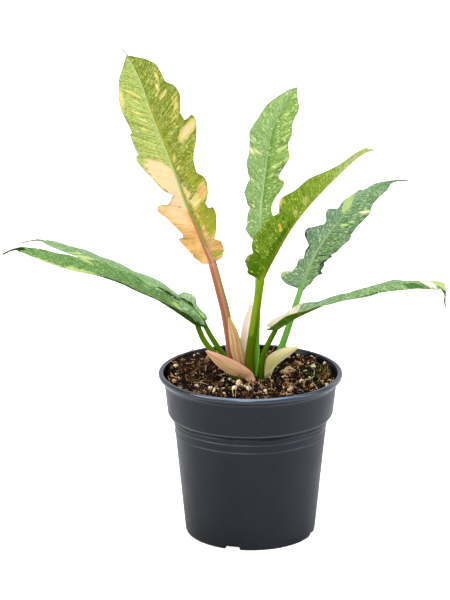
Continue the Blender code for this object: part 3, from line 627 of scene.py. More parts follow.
def half_blade(leaf, side, share, rib_radius, axes, length, seed):
    """Points of one half from the rib outward, above and below, and where they lie on it."""
    place, forward, sideways, up = axes
    lobes = leaf["left" if side < 0 else "right"]
    lift = math.radians(along(leaf["lift"], share)[0 if side < 0 else 1])
    slant = math.radians(along(leaf["vein"], share)[0])
    outward = math.cos(lift) * side * sideways + math.sin(lift) * up
    normal = math.cos(lift) * up - math.sin(lift) * side * sideways
    reach = max(margin(lobes, share), 0.9 * rib_radius)
    distance = np.linspace(min(1.1 * rib_radius, 0.5 * reach), reach, COLUMNS)
    out = distance / reach
    ahead = math.cos(slant) * (1 if slant < math.pi / 2 else out)
    veins = side_veins(lobes)
    nearest = np.abs(veins - share).min() * length
    spot = np.clip(np.searchsorted(veins, share), 1, len(veins) - 1)
    between = np.clip((share - veins[spot - 1]) / (veins[spot] - veins[spot - 1]), 0, 1)
    swell = SWELL * math.sin(math.pi * between) * np.sin(math.pi * out ** 0.8)
    crease = -VEIN_DEPTH * math.exp(-(nearest / VEIN_WIDTH) ** 2) * (1 - out)
    sway = np.array([noise.noise(Vector((share * length / SWAY_RUN, side * value * 1.6,
                                         seed * 7.3))) for value in out])
    ruffle = (leaf["wave"] * lobe_phase(lobes, share) * out ** 2 * min(1, reach / 10)
              + (swell + crease) * min(1, reach / 12) + SWAY * sway * out)
    middle = (place + distance[:, None] * (math.sin(slant) * outward
                                           + np.outer(np.full(COLUMNS, 1.0) * ahead, forward))
              + np.outer(ruffle, normal))
    thick = np.outer(BLADE_THICKNESS / 2 * (1 - 0.55 * out ** 4), normal)
    return {"above": middle + thick, "below": middle - thick, "distance": distance, "out": out,
            "edge": reach - distance, "vein": nearest}


def round_ring(left, groove, right, keel):
    """Values laid round a ring, where the upper and the lower side have the same."""
    return np.concatenate([left[::-1], groove, right, right[::-1], keel, left])


def leaf_rings(leaf, seed):
    """Cross-sections of the whole leaf, and what the finish has to know at each point."""
    foot, top = leaf["stalk_across"]
    rib = smooth_line(leaf["rib"], RIB_STEPS + 1)
    rib_tangents = np.gradient(rib, axis=0)
    length = line_length(rib)
    stalk = smooth_line(leaf["stalk"], STALK_RINGS + 1)
    stalk_tangents = np.gradient(stalk, axis=0)
    stalk_tangents[-1] = rib_tangents[0]
    rings = []
    patches = [kind for kind in PATCH_KINDS if kind in leaf]
    stripes = [kind for kind in STRIPE_KINDS if kind in leaf]
    marks = {key: [] for key in ("place", "along", "rib", "vein", "edge", "upper",
                                 *patches, *stripes)}

    def keep(ring, **values):
        rings.append(ring)
        for key, store in marks.items():
            store.append(np.broadcast_to(values.get(key, 0.0), (RING_SIZE, 3) if key == "place"
                                         else (RING_SIZE,)))

    for k in range(STALK_RINGS):
        share = k / STALK_RINGS
        radius = (foot + (top - foot) * share ** 0.8) / 2
        radius *= 1 + 0.02 * noise.noise(Vector((share * 9, seed, 0.5)))
        ring = stalk_section(stalk[k], stalk_tangents[k], along(leaf["facing"], 0), radius)
        around = np.column_stack([radius * np.cos(TURNS), radius * np.sin(TURNS),
                                  np.full(RING_SIZE, share * line_length(stalk))])
        keep(ring, place=around, along=share - 1, edge=OFF_BLADE, vein=OFF_BLADE, upper=0.5,
             **{kind: stripe_field(leaf[kind], share - 1, TURNS) for kind in stripes})

    for share in blade_shares(leaf):
        gone = max(0.08 * share, (share - BASE_FAN) / (1 - BASE_FAN))
        index = min(RIB_STEPS - 1, int(gone * RIB_STEPS))
        part = gone * RIB_STEPS - index
        place = rib[index] * (1 - part) + rib[index + 1] * part
        forward = unit(rib_tangents[index] * (1 - part) + rib_tangents[index + 1] * part)
        facing = along(leaf["facing"], gone)
        up = unit(facing - forward * (facing @ forward))
        sideways = np.cross(forward, up)
        rib_radius = RIB_SHARE * top * (1 - gone) ** RIB_TAPER + RIB_TIP
        left, right = (half_blade(leaf, side, share, rib_radius, (place, forward, sideways, up),
                                  length, seed) for side in (-1, 1))
        deep = rib_radius * (0.85 + 0.3 * min(1, gone / DEEPENING))
        groove = [place + sideways * x * rib_radius + up * z
                  for x, z in ((-0.6, 0.18), (0, -0.12), (0.6, 0.18))]
        keel = [place + rib_radius * math.cos(a) * sideways + deep * math.sin(a) * up
                for a in KEEL_ANGLES]
        ring = np.vstack([left["above"][::-1], groove, right["above"], right["below"][::-1], keel,
                          left["below"]])
        blend = min(1, share / BLEND)
        blend = blend * blend * (3 - 2 * blend)
        if blend < 1:
            ring = stalk_section(place, forward, facing, top / 2) * (1 - blend) + ring * blend
        signed = round_ring(-left["distance"], (-0.6 * rib_radius, 0, 0.6 * rib_radius),
                            right["distance"], rib_radius * np.cos(KEEL_ANGLES))
        outs = round_ring(-left["out"], (0,) * 3, right["out"], (0,) * 5)
        edge = round_ring(left["edge"], (OFF_BLADE,) * 3, right["edge"], (OFF_BLADE,) * 5)
        upper = np.concatenate([np.ones(2 * COLUMNS + 3), np.zeros(2 * COLUMNS + 5)])
        run = np.full(RING_SIZE, share * length)
        keep(ring, place=np.column_stack([run, signed, np.zeros(RING_SIZE)]), along=gone,
             rib=np.abs(signed) / rib_radius * blend,
             vein=np.where(outs < 0, left["vein"], right["vein"]), edge=edge, upper=upper,
             **{kind: patch_field(leaf[kind], share, outs) for kind in patches},
             **{kind: stripe_field(leaf[kind], gone, BLADE_TURNS) for kind in stripes})
    return rings, marks


def loft(name, rings, marks):
    """Closed mesh through the rings, with the marks as point attributes."""
    size = len(rings[0])
    faces = [(r * size + k, r * size + (k + 1) % size, (r + 1) * size + (k + 1) % size,
              (r + 1) * size + k) for r in range(len(rings) - 1) for k in range(size)]
    faces += [tuple(range(size))[::-1], tuple(range((len(rings) - 1) * size, len(rings) * size))]
    mesh = bpy.data.meshes.new(name)
    mesh.from_pydata(np.concatenate(rings) * MM, [], faces)
    for key, rows in marks.items():
        values = np.concatenate(rows).astype(np.float32)
        vector = values.ndim == 2
        store = mesh.attributes.new(key, "FLOAT_VECTOR" if vector else "FLOAT", "POINT")
        store.data.foreach_set("vector" if vector else "value", values.ravel())
    mesh.shade_smooth()
    mesh.set_sharp_from_angle(angle=math.radians(60))
    piece = bpy.data.objects.new(name, mesh)
    scene.collection.objects.link(piece)
    return piece


def leaf_finish(name, look):
    """Waxy leaf skin over variegated tissue: cells without green run in streaks along the side
    veins. The upper side is glossier than the lower, and a little light shines through."""
    finish, tree, output = new_tree(name.replace("_", " ") + ", waxy variegated leaf")
    patches = [kind for kind in PATCH_KINDS if kind in look]
    stripes = [kind for kind in STRIPE_KINDS if kind in look]
    mark = {key: add(tree, "Attribute", {"attribute_name": key}).outputs["Fac"]
            for key in ("along", "rib", "vein", "edge", "upper", *patches, *stripes)}
    where = add(tree, "Attribute", {"attribute_name": "place"}).outputs["Vector"]

    # Streaks 2 mm wide and 7 mm long, specks 0.5 mm wide and 2 mm long, cell-scale grain drawn
    # at 0.5 mm, fine veins about 0.8 mm apart that run out to the margin, fibres 0.5 mm wide
    # along the stalk, and the shake of the flecks. Each row has the repeats in a millimetre
    # along the blade, out to its margin and along the stalk, then detail, roughness, distortion.
    noises = {}
    for key, repeats, detail, roughness, distortion in (
            ("streaks", (0.5, 0.14, 0.14), 5.0, 0.62, 0.5),
            ("specks", (1.9, 0.55, 0.2), 2.0, 0.6, 0.7),
            ("grain", (1.9, 0.9, 0.35), 3.0, 0.6, 0.0),
            ("fine veins", (1.3, 0.035, 0.03), 2.0, 0.5, 0.0),
            ("fibres", (1.8, 1.8, 0.06), 4.0, 0.5, 0.0),
            ("shake", (0.8, 0.5, 0.2), 2.0, 0.5, 0.0)):
        drawn = add(tree, "VectorMath", {"operation": "MULTIPLY"}, {0: where, 1: repeats})
        noises[key] = add(tree, "TexNoise", inputs={
            "Vector": drawn.outputs[0], "Scale": 1.0, "Detail": detail, "Roughness": roughness,
            "Distortion": distortion}).outputs
    specks, fine_veins, fibres = (noises[key][0] for key in ("specks", "fine veins", "fibres"))
    rough_edge = add(tree, "Math", {"operation": "MULTIPLY_ADD"},
                     {0: noises["grain"][0], 1: 0.5, 2: noises["streaks"][0]}).outputs[0]

    # The blade's colours lie over one another, each (kind of mix, how much it covers, colour).
    # The two halves get their own tints, partly tissue colour and partly painted light: the half
    # towards the key light is paler.
    across = add(tree, "SeparateXYZ", inputs={0: where}).outputs[1]
    right_half = add(tree, "MapRange", inputs={0: across, 1: -1.0, 2: 1.0}).outputs[0]
    left_tint, right_tint, half_strength = look["halves"]
    halves = add(tree, "Mix", {"data_type": "RGBA"}, {0: right_half, 6: srgb(left_tint),
                                                     7: srgb(right_tint)}).outputs[2]
    layers = [("MIX", half_strength, halves)]
    for field, start, full, strength, tone in (
            (rough_edge, 0.72, 0.95, "streaky", "light"),
            (fine_veins, 0.5, 0.34, "furrows", "dark"),
            (fine_veins, 0.52, 0.68, "furrows", "light"),
            (specks, 0.5, 0.38, "mottle", "dark"),
            (specks, 0.54, 0.62, "specks", "fleck")):
        cover = add(tree, "MapRange", inputs={0: field, 1: start, 2: full, 3: 0.0,
                                              4: look[strength]}).outputs[0]
        layers.append(("MIX", cover, srgb(look[tone])))
    for kind in patches:
        level = add(tree, "Math", {"operation": "MULTIPLY_ADD"},
                    {0: rough_edge, 1: 0.8, 2: mark[kind]}).outputs[0]
        cover = add(tree, "MapRange", {"interpolation_type": "SMOOTHSTEP"},
                    {0: level, 1: 1.02, 2: 1.2, 3: 0.0, 4: 0.95}).outputs[0]
        part = add(tree, "MapRange", inputs={0: rough_edge, 1: 0.6, 2: 0.9}).outputs[0]
        tint = add(tree, "Mix", {"data_type": "RGBA"}, {0: part, 6: srgb(look[kind][0]),
                                                       7: srgb(look[kind][1])}).outputs[2]
        layers.append(("MIX", cover, tint))
    weave = add(tree, "MapRange", inputs={0: fine_veins, 1: 0.52, 2: 0.34, 3: 0.0,
                                          4: look["weave"]}).outputs[0]
    layers.append(("MULTIPLY", weave, srgb("#c8b48c")))

    # Flecks of pale tissue 0.6 mm wide and 1.7 mm long, in some cells of an uneven net.
    drawn = add(tree, "VectorMath", {"operation": "MULTIPLY"}, {0: where, 1: (0.9, 0.32, 0.1)})
    shaken = add(tree, "VectorMath", {"operation": "MULTIPLY_ADD"},
                 {0: noises["shake"]["Color"], 1: (0.7, 0.7, 0.0), 2: drawn.outputs[0]}).outputs[0]
    net = add(tree, "TexVoronoi", inputs={"Vector": shaken, "Scale": 1.0})
    lot = add(tree, "SeparateColor", inputs={0: net.outputs["Color"]}).outputs[0]
    chosen = add(tree, "Math", {"operation": "LESS_THAN"}, {0: lot, 1: look["flecks"]}).outputs[0]
    fleck = add(tree, "MapRange", {"interpolation_type": "SMOOTHSTEP"},
                {0: net.outputs["Distance"], 1: 0.36, 2: 0.22, 3: 0.0, 4: 0.9}).outputs[0]
    fleck = add(tree, "Math", {"operation": "MULTIPLY"}, {0: fleck, 1: chosen}).outputs[0]
    layers.append(("MIX", fleck, srgb(look["fleck"])))

    # The lower side has its own tint and is duller: paler on the upper leaves, and dark on two low
    # leaves, where the tint is painted shade. Side veins show as pale lines 0.5 mm wide, and the
    # margin as a thin rim.
    tint, strength = look["under"]
    below = add(tree, "MapRange", inputs={0: mark["upper"], 1: 0.5, 2: 0.4, 3: 0.0,
                                          4: strength}).outputs[0]
    layers.append(("MIX", below, srgb(tint)))
    vein = add(tree, "MapRange", {"interpolation_type": "SMOOTHSTEP"},
               {0: mark["vein"], 1: 0.45, 2: 0.1, 3: 0.0, 4: 0.16}).outputs[0]
    layers.append(("MIX", vein, srgb(look["light"])))
    # On the front bronze leaf the rim's pale tint is a painted highlight along the margin.
    tint, strength = look["rim"]
    rim = add(tree, "MapRange", {"interpolation_type": "SMOOTHSTEP"},
              {0: mark["edge"], 1: 0.7, 2: 0.1, 3: 0.0, 4: strength}).outputs[0]
    layers.append(("MIX", rim, srgb(tint)))

    # Midrib and stalk are one strand; its colour runs from the foot to the tip, with its own
    # layers of fibres and stripes.
    strand_at = add(tree, "MapRange", inputs={0: mark["along"], 1: -1.0, 2: 1.0}).outputs[0]
    strand = add(tree, "ValToRGB", {"stops": look["strand"]}, {0: strand_at}).outputs[0]
    shade = add(tree, "MapRange", inputs={0: fibres, 1: 0.7, 2: 0.3, 3: 0.0, 4: 0.6}).outputs[0]
    strand_layers = [("MULTIPLY", shade, srgb("#c8c0a0"))]
    for kind in stripes:
        level = add(tree, "Math", {"operation": "MULTIPLY_ADD"},
                    {0: fibres, 1: 0.4, 2: mark[kind]}).outputs[0]
        cover = add(tree, "MapRange", {"interpolation_type": "SMOOTHSTEP"},
                    {0: level, 1: 0.62, 2: 0.82, 3: 0.0, 4: 0.9}).outputs[0]
        strand_layers.append(("MIX", cover, srgb(look[kind])))
    for blend, cover, tint in strand_layers:
        strand = add(tree, "Mix", {"data_type": "RGBA", "blend_type": blend},
                     {0: cover, 6: strand, 7: tint}).outputs[2]
    on_strand = add(tree, "MapRange", {"interpolation_type": "SMOOTHSTEP"},
                    {0: mark["rib"], 1: 1.0, 2: 0.7, 3: 0.0, 4: 1.0}).outputs[0]
    layers.append(("MIX", on_strand, strand))

    colour = add(tree, "ValToRGB", {"stops": look["ground"]}, {0: mark["along"]}).outputs[0]
    for blend, cover, tint in layers:
        colour = add(tree, "Mix", {"data_type": "RGBA", "blend_type": blend},
                     {0: cover, 6: colour, 7: tint}).outputs[2]

    height = add(tree, "Math", {"operation": "MULTIPLY_ADD"},
                 {0: vein, 1: -2.0, 2: rough_edge}).outputs[0]
    height = add(tree, "Math", {"operation": "MULTIPLY_ADD"},
                 {0: fine_veins, 1: 2.5, 2: height}).outputs[0]
    bump = add(tree, "Bump", inputs={"Strength": 0.35, "Distance": 0.00018,
                                     "Height": height}).outputs[0]
    rough = add(tree, "MapRange", inputs={0: mark["upper"], 1: 0.0, 2: 1.0, 3: 0.5,
                                          4: 0.4}).outputs[0]
    rough = add(tree, "Math", {"operation": "MULTIPLY_ADD"},
                {0: noises["grain"][0], 1: 0.12, 2: rough}).outputs[0]
    skin = add(tree, "BsdfPrincipled", inputs={"Base Color": colour, "Roughness": rough,
                                               "IOR": 1.42, "Specular IOR Level": look["sheen"],
                                               "Normal": bump})
    glow = add(tree, "BsdfTranslucent", inputs={"Color": colour, "Normal": bump})
    blade = add(tree, "MixShader", inputs={0: 0.22, 1: skin.outputs[0], 2: glow.outputs[0]})
    tree.links.new(blade.outputs[0], output.inputs[0])
    return finish


def grow_leaf(name, node, seed, shape, look):
    piece = loft(name, *leaf_rings(shape, seed))
    piece.data.materials.append(leaf_finish(node, look))
    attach(piece, "root")
    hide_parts(node)


# In each leaf, "facing" has rows (share of the rib, direction of the upper side), "lift" (share,
# degrees that the left and the right half are raised), "vein" (share, degrees from the rib to a
# side vein), and "left" and "right" (share, reach of the margin). A patch of colour is (share, out
# to the right, half length, half width, strength), and a stripe on the strand (angle, half width,
# from, to). Many "deep" patches are painted shade, in notches, folds and gaps and beside a raised
# midrib. In the finish, "ground" and "strand" run from the blade's base or the foot to the tip,
# "halves" has the left and right tint and their strength, partly painted light that makes the half
# towards the key paler, and the words without a colour are strengths.

# Tall gold leaf, its underside to the front. It is green towards the tip, cream in the middle
# and peach below, and stands on the thickest stalk, which is pink.
grow_leaf("tall_gold_leaf", "leaf_tall_gold", 1.0, {
    "stalk": [(-8.7, 8.6, FOOT_Z), (-11.5, 5, 117.5), (-16.1, -5, 149.8), (-20.2, -11, 168.9),
              (-25, -17, 189.6)],
    "stalk_across": (7.2, 5.6),
    "rib": [(-25, -17, 189.6), (-35.9, -24, 218.3), (-41.7, -27, 232.3), (-50.4, -32, 258),
            (-62.7, -38, 292.6), (-69.2, -42, 313.5), (-77.2, -44.6, 331.5),
            (-80.9, -46, 337.5)],
    "facing": [(0, 0.1, 1, 0.2), (1, 0.1, 1, 0.1)],
    "lift": [(0, 8, 8), (1, 5, 5)],
    "vein": [(0, 135), (0.1, 100), (0.25, 70), (1, 42)],
    "wave": 2.0,
    "left": [(0, 1.5), (0.09, 3.6), (0.113, 7.7), (0.132, 10.2), (0.163, 10.5), (0.185, 7.5),
             (0.21, 11.3), (0.256, 15.5), (0.276, 15.6), (0.29, 13), (0.308, 12.8),
             (0.327, 17.3), (0.373, 19.1), (0.432, 15.3), (0.464, 16.2), (0.49, 18.5),
             (0.51, 22.7), (0.536, 26.6), (0.568, 29.4), (0.591, 27.8), (0.603, 22.5),
             (0.634, 21.5), (0.679, 26.3), (0.712, 25.4), (0.776, 19.3), (0.829, 17.8),
             (0.868, 14.2), (0.925, 6.6), (0.95, 3.2), (0.972, 0.4), (1, 0.3)],
    "right": [(0, 1.5), (0.09, 3.6), (0.113, 8), (0.132, 11.4), (0.148, 10), (0.178, 14.9),
              (0.202, 16.5), (0.212, 11.5), (0.227, 10.8), (0.256, 14.1), (0.283, 21.2),
              (0.298, 22.8), (0.322, 21.8), (0.334, 18.3), (0.347, 12.6), (0.388, 6.6),
              (0.403, 12.2), (0.425, 17.6), (0.471, 24.2), (0.49, 25.4), (0.51, 24.3),
              (0.531, 20.8), (0.559, 22.8), (0.588, 23.6), (0.62, 19.6), (0.637, 19.8),
              (0.683, 23.4), (0.796, 19.4), (0.868, 12.4), (0.9, 8.6), (0.925, 5.7),
              (0.95, 2.8), (0.972, 0.4), (1, 0.3)],
    "gold": [(0.812, -0.76, 0.018, 0.07, 0.95), (0.785, -0.61, 0.02, 0.07, 0.95),
             (0.738, -0.61, 0.009, 0.2, 0.95), (0.564, -0.72, 0.021, 0.3, 1.1),
             (0.764, -0.45, 0.005, 0.12, 0.9), (0.666, -0.8, 0.1, 0.35, 0.56),
             (0.832, -0.4, 0.012, 0.12, 0.6), (0.735, 0.95, 0.055, 0.16, 0.8),
             (0.783, 0.5, 0.006, 0.34, 1), (0.756, 0.4, 0.005, 0.2, 0.8),
             (0.705, 0.48, 0.007, 0.24, 0.9), (0.686, 0.35, 0.005, 0.16, 0.8),
             (0.647, 0.5, 0.006, 0.2, 0.8), (0.608, 0.3, 0.006, 0.2, 0.7),
             (0.842, 0.5, 0.006, 0.2, 0.7), (0.529, -0.12, 0.011, 0.06, 1.1),
             (0.49, -0.2, 0.006, 0.09, 1.1), (0.354, -0.78, 0.05, 0.3, 0.75),
             (0.388, -0.12, 0.045, 0.16, 0.85), (0.339, -0.4, 0.034, 0.34, 0.85),
             (0.261, -0.25, 0.05, 0.13, 1), (0.266, -0.6, 0.04, 0.2, 0.56)],
    "blush": [(0.168, 0.5, 0.19, 0.95, 1.1), (0.139, -0.62, 0.07, 0.5, 1.1),
              (0.198, -0.32, 0.045, 0.24, 1), (0.35, -0.74, 0.05, 0.28, 0.67)],
    "cream": [(0.432, 0.4, 0.085, 0.46, 1.1), (0.359, 0.35, 0.04, 0.6, 1),
              (0.564, -0.72, 0.01, 0.22, 0.95), (0.295, 0.5, 0.07, 0.5, 0.72),
              (0.324, 0.85, 0.02, 0.2, 0.6)],
    # The first dark patch is painted shade beside the raised midrib.
    "deep": [(0.588, -0.05, 0.3, 0.07, 0.9), (0.93, -0.3, 0.06, 0.8, 0.5),
             (0.417, -0.6, 0.045, 0.36, 0.7), (0.388, -0.72, 0.008, 0.3, 1),
             (0.252, -0.64, 0.068, 0.36, 0.95), (0.281, -0.09, 0.08, 0.09, 1.15),
             (0.124, -0.5, 0.012, 0.5, 0.9), (0.339, 0.36, 0.006, 0.08, 0.9)],
    "stripe": [(188, 34, -0.85, 0.0), (-142, 46, 0.02, 0.42)],
    "flush": [(-74, 22, -1.1, 0.32)],
    "line": [(-12, 30, -0.02, 0.42)],
}, {
    "ground": [(0, "#c9a552"), (0.28, "#b4a23a"), (0.42, "#9ea238"), (0.7, "#94a638"),
               (1, "#7e9e38")],
    "halves": ("#627608", "#b4cf7e", 0.62), "furrows": 0.4, "weave": 0.3, "sheen": 0.08,
    "light": "#d0dc90", "dark": "#607818", "streaky": 0.35, "mottle": 0.7, "specks": 0.6,
    "gold": ("#eae096", "#d4c66e"), "blush": ("#eec88a", "#d69c52"),
    "cream": ("#fbd6b1", "#f6cca2"), "deep": ("#98a42a", "#a8a83a"),
    "fleck": "#d6ce6c", "flecks": 0.35,
    "under": ("#c9d08a", 0.0), "rim": ("#766e2c", 0.85),
    "strand": [(0, "#a87c58"), (0.25, "#cc9a78"), (0.47, "#d29c80"), (0.565, "#d8ac90"),
               (0.62, "#b4c884"), (0.96, "#cddba0"), (0.99, "#8a7a50"), (1, "#5c4634")],
    "stripe": "#8c9838", "flush": "#ac6448", "line": "#86503a",
})

# Upright green leaf behind the middle, its upper side to the front. It is light green, finely
# flecked with cream, with a darker band along the right of the midrib, painted as its shade.
grow_leaf("upright_green_leaf", "leaf_upright_green", 2.0, {
    "stalk": [(3.2, 9, FOOT_Z), (3.9, 13, 134.3), (4.8, 17, 160.6), (5.1, 22, 192.7)],
    "stalk_across": (5.2, 3.6),
    "rib": [(5.1, 22, 192.7), (6.9, 32, 217.5), (9.1, 38, 233.4), (11.3, 43, 249.6),
            (15.8, 48, 265.9), (30.6, 54.5, 288.6)],
    "facing": [(0, 0.15, -1, 0.3), (1, 0.1, -1, 0.4)],
    "lift": [(0, 18, 18), (1, 12, 12)],
    "vein": [(0, 135), (0.1, 100), (0.25, 65), (1, 38)],
    "wave": 2.0,
    "left": [(0, 1.5), (0.093, 3), (0.107, 3.8), (0.127, 7.8), (0.153, 11.3), (0.175, 9.2),
             (0.207, 9.9), (0.25, 7.4), (0.273, 11.2), (0.3, 15), (0.35, 12.6), (0.393, 10.6),
             (0.407, 14), (0.433, 17.6), (0.493, 15.6), (0.535, 15.9), (0.56, 16.8),
             (0.59, 19.8), (0.64, 17.2), (0.693, 14.4), (0.747, 14.2), (0.807, 12.2),
             (0.87, 9), (0.92, 6.4), (0.965, 3), (1, 0)],
    "right": [(0, 1.5), (0.14, 8), (0.165, 6.5), (0.205, 9.5), (0.25, 7.7), (0.273, 8.1),
              (0.307, 10.4), (0.333, 14.1), (0.36, 16.2), (0.38, 15.5), (0.413, 11.4),
              (0.434, 10.2), (0.465, 14.6), (0.495, 18.6), (0.54, 17), (0.587, 15.7),
              (0.633, 17.9), (0.72, 15.6), (0.813, 13.4), (0.9, 7), (0.96, 2.4), (1, 0)],
    "gold": [(0.53, -0.85, 0.017, 0.25, 1.05), (0.552, -0.45, 0.008, 0.3, 1),
             (0.585, -0.72, 0.007, 0.18, 1.05), (0.57, 0.7, 0.012, 0.28, 0.85),
             (0.495, 0.88, 0.02, 0.14, 0.85), (0.49, 0.45, 0.012, 0.26, 0.8),
             (0.45, 0.42, 0.012, 0.24, 0.85), (0.63, 0.8, 0.012, 0.2, 0.75),
             (0.8, 0.4, 0.02, 0.24, 0.8), (0.72, 0.6, 0.01, 0.3, 0.75),
             (0.93, 0.75, 0.014, 0.25, 1), (0.775, -0.84, 0.012, 0.13, 1),
             (0.725, -0.8, 0.008, 0.1, 1)],
    "cream": [(0.527, -0.86, 0.009, 0.16, 1), (0.549, -0.5, 0.005, 0.2, 1),
              (0.585, -0.7, 0.004, 0.1, 1)],
    "deep": [(0.93, -0.1, 0.06, 0.5, 0.6), (0.5, 0.11, 0.4, 0.08, 1.0)],
}, {
    "ground": [(0, "#547c22"), (0.5, "#779d42"), (1, "#759b45")],
    "halves": ("#9ec27a", "#749c42", 0.65), "furrows": 0.22, "weave": 0.2, "sheen": 0.08,
    "light": "#c4dca0", "dark": "#587c30", "streaky": 0.35, "mottle": 0.5, "specks": 0.4,
    "gold": ("#b4ca70", "#c6d682"), "cream": ("#f2f4c0", "#eaecb0"),
    "deep": ("#5c8a38", "#6c9642"), "fleck": "#e4eeae", "flecks": 0.38,
    "under": ("#a9c98d", 0.4), "rim": ("#76884c", 0.7),
    "strand": [(0, "#82cd48"), (0.4, "#83b445"), (0.5, "#9cc070"), (0.6, "#c4dea4"),
               (1, "#cee6b2")],
})

# Front leaf, olive bronze and folded along its rib, so that its underside shows below the fold.
# Towards the end it pales through yellow green to a cream tip.
grow_leaf("front_bronze_leaf", "leaf_front_bronze", 3.0, {
    "stalk": [(-0.3, 1.2, FOOT_Z), (-0.4, -2, 122.5), (2, -8, 142), (5.5, -15, 170.2),
              (6.7, -18, 178.5)],
    "stalk_across": (6.4, 5.2),
    "rib": [(6.7, -18, 178.5), (12.6, -22, 192), (25.9, -32, 217.4), (41.1, -42, 239.4),
            (62.5, -54, 264.7), (70.5, -57.5, 272.2), (74.2, -60, 274.8), (78.5, -62, 276.3)],
    "facing": [(0, -0.57, 0.68, 0.45), (1, -0.5, 0.6, 0.6)],
    "lift": [(0, 45, 45), (1, 35, 35)],
    "vein": [(0, 130), (0.1, 95), (0.25, 60), (1, 35)],
    "wave": 1.5,
    "left": [(0, 1.5), (0.08, 4), (0.13, 13), (0.17, 10.5), (0.24, 16), (0.29, 13),
             (0.36, 15.8), (0.42, 13.5), (0.48, 14.6), (0.55, 12.6), (0.62, 11), (0.7, 8.4),
             (0.8, 6.4), (0.88, 4.6), (0.93, 3.2), (0.96, 1), (1, 0)],
    "right": [(0, 1.5), (0.067, 5.2), (0.093, 9.6), (0.12, 10.6), (0.14, 14.3), (0.16, 14.7),
              (0.188, 13.2), (0.207, 17.2), (0.24, 18.8), (0.29, 18.2), (0.34, 17.6),
              (0.395, 15.4), (0.415, 19), (0.436, 20.2), (0.52, 17.8), (0.58, 17.2),
              (0.7, 11), (0.8, 7.2), (0.88, 6), (0.93, 5.2), (0.965, 3.2), (0.985, 1.2),
              (1, 0.3)],
    "gold": [(0.55, 0.3, 0.022, 0.2, 0.9), (0.47, 0.22, 0.018, 0.16, 0.85),
             (0.93, 0.2, 0.05, 1.0, 0.9), (0.15, 0.85, 0.05, 0.35, 0.65),
             (0.28, 0.5, 0.06, 0.3, 0.5)],
    "blush": [(0.355, 0.34, 0.012, 0.1, 1), (0.365, 0.5, 0.008, 0.08, 1),
              (0.415, 0.96, 0.028, 0.1, 1)],
    "deep": [(0.1, 0.5, 0.12, 0.8, 0.75), (0.3, 0.1, 0.2, 0.2, 0.8)],
    "stripe": [(-20, 40, -0.6, -0.1)],
    "line": [(-160, 22, -1.0, 0.7)],
}, {
    "ground": [(0, "#426d00"), (0.3, "#58840a"), (0.5, "#7c982c"), (0.68, "#98b24c"),
               (0.8, "#ccda98"), (0.92, "#ecedc8"), (0.98, "#f6f4dc"), (1, "#c8b888")],
    "halves": ("#567f0c", "#6c981e", 0.2), "furrows": 0.35, "weave": 0.3, "sheen": 0.06,
    "light": "#a8c050", "dark": "#365600", "streaky": 0.35, "mottle": 0.6, "specks": 0.4,
    "gold": ("#c6c67c", "#a8b458"), "blush": ("#ecbc60", "#d8a850"),
    "deep": ("#3a5e00", "#466c04"), "fleck": "#c4cc58", "flecks": 0.5,
    "under": ("#4c6c0c", 0.08), "rim": ("#8c9850", 0.5),
    "strand": [(0, "#5a6500"), (0.25, "#5e8200"), (0.45, "#7a9e0f"), (0.5, "#87a420"),
               (0.55, "#60740c"), (0.7, "#8c9834"), (0.85, "#b8c070"), (0.93, "#dcdc9c"),
               (0.98, "#ece4b4"), (1, "#a08858")],
    "stripe": "#7c9a20", "line": "#524606",
})

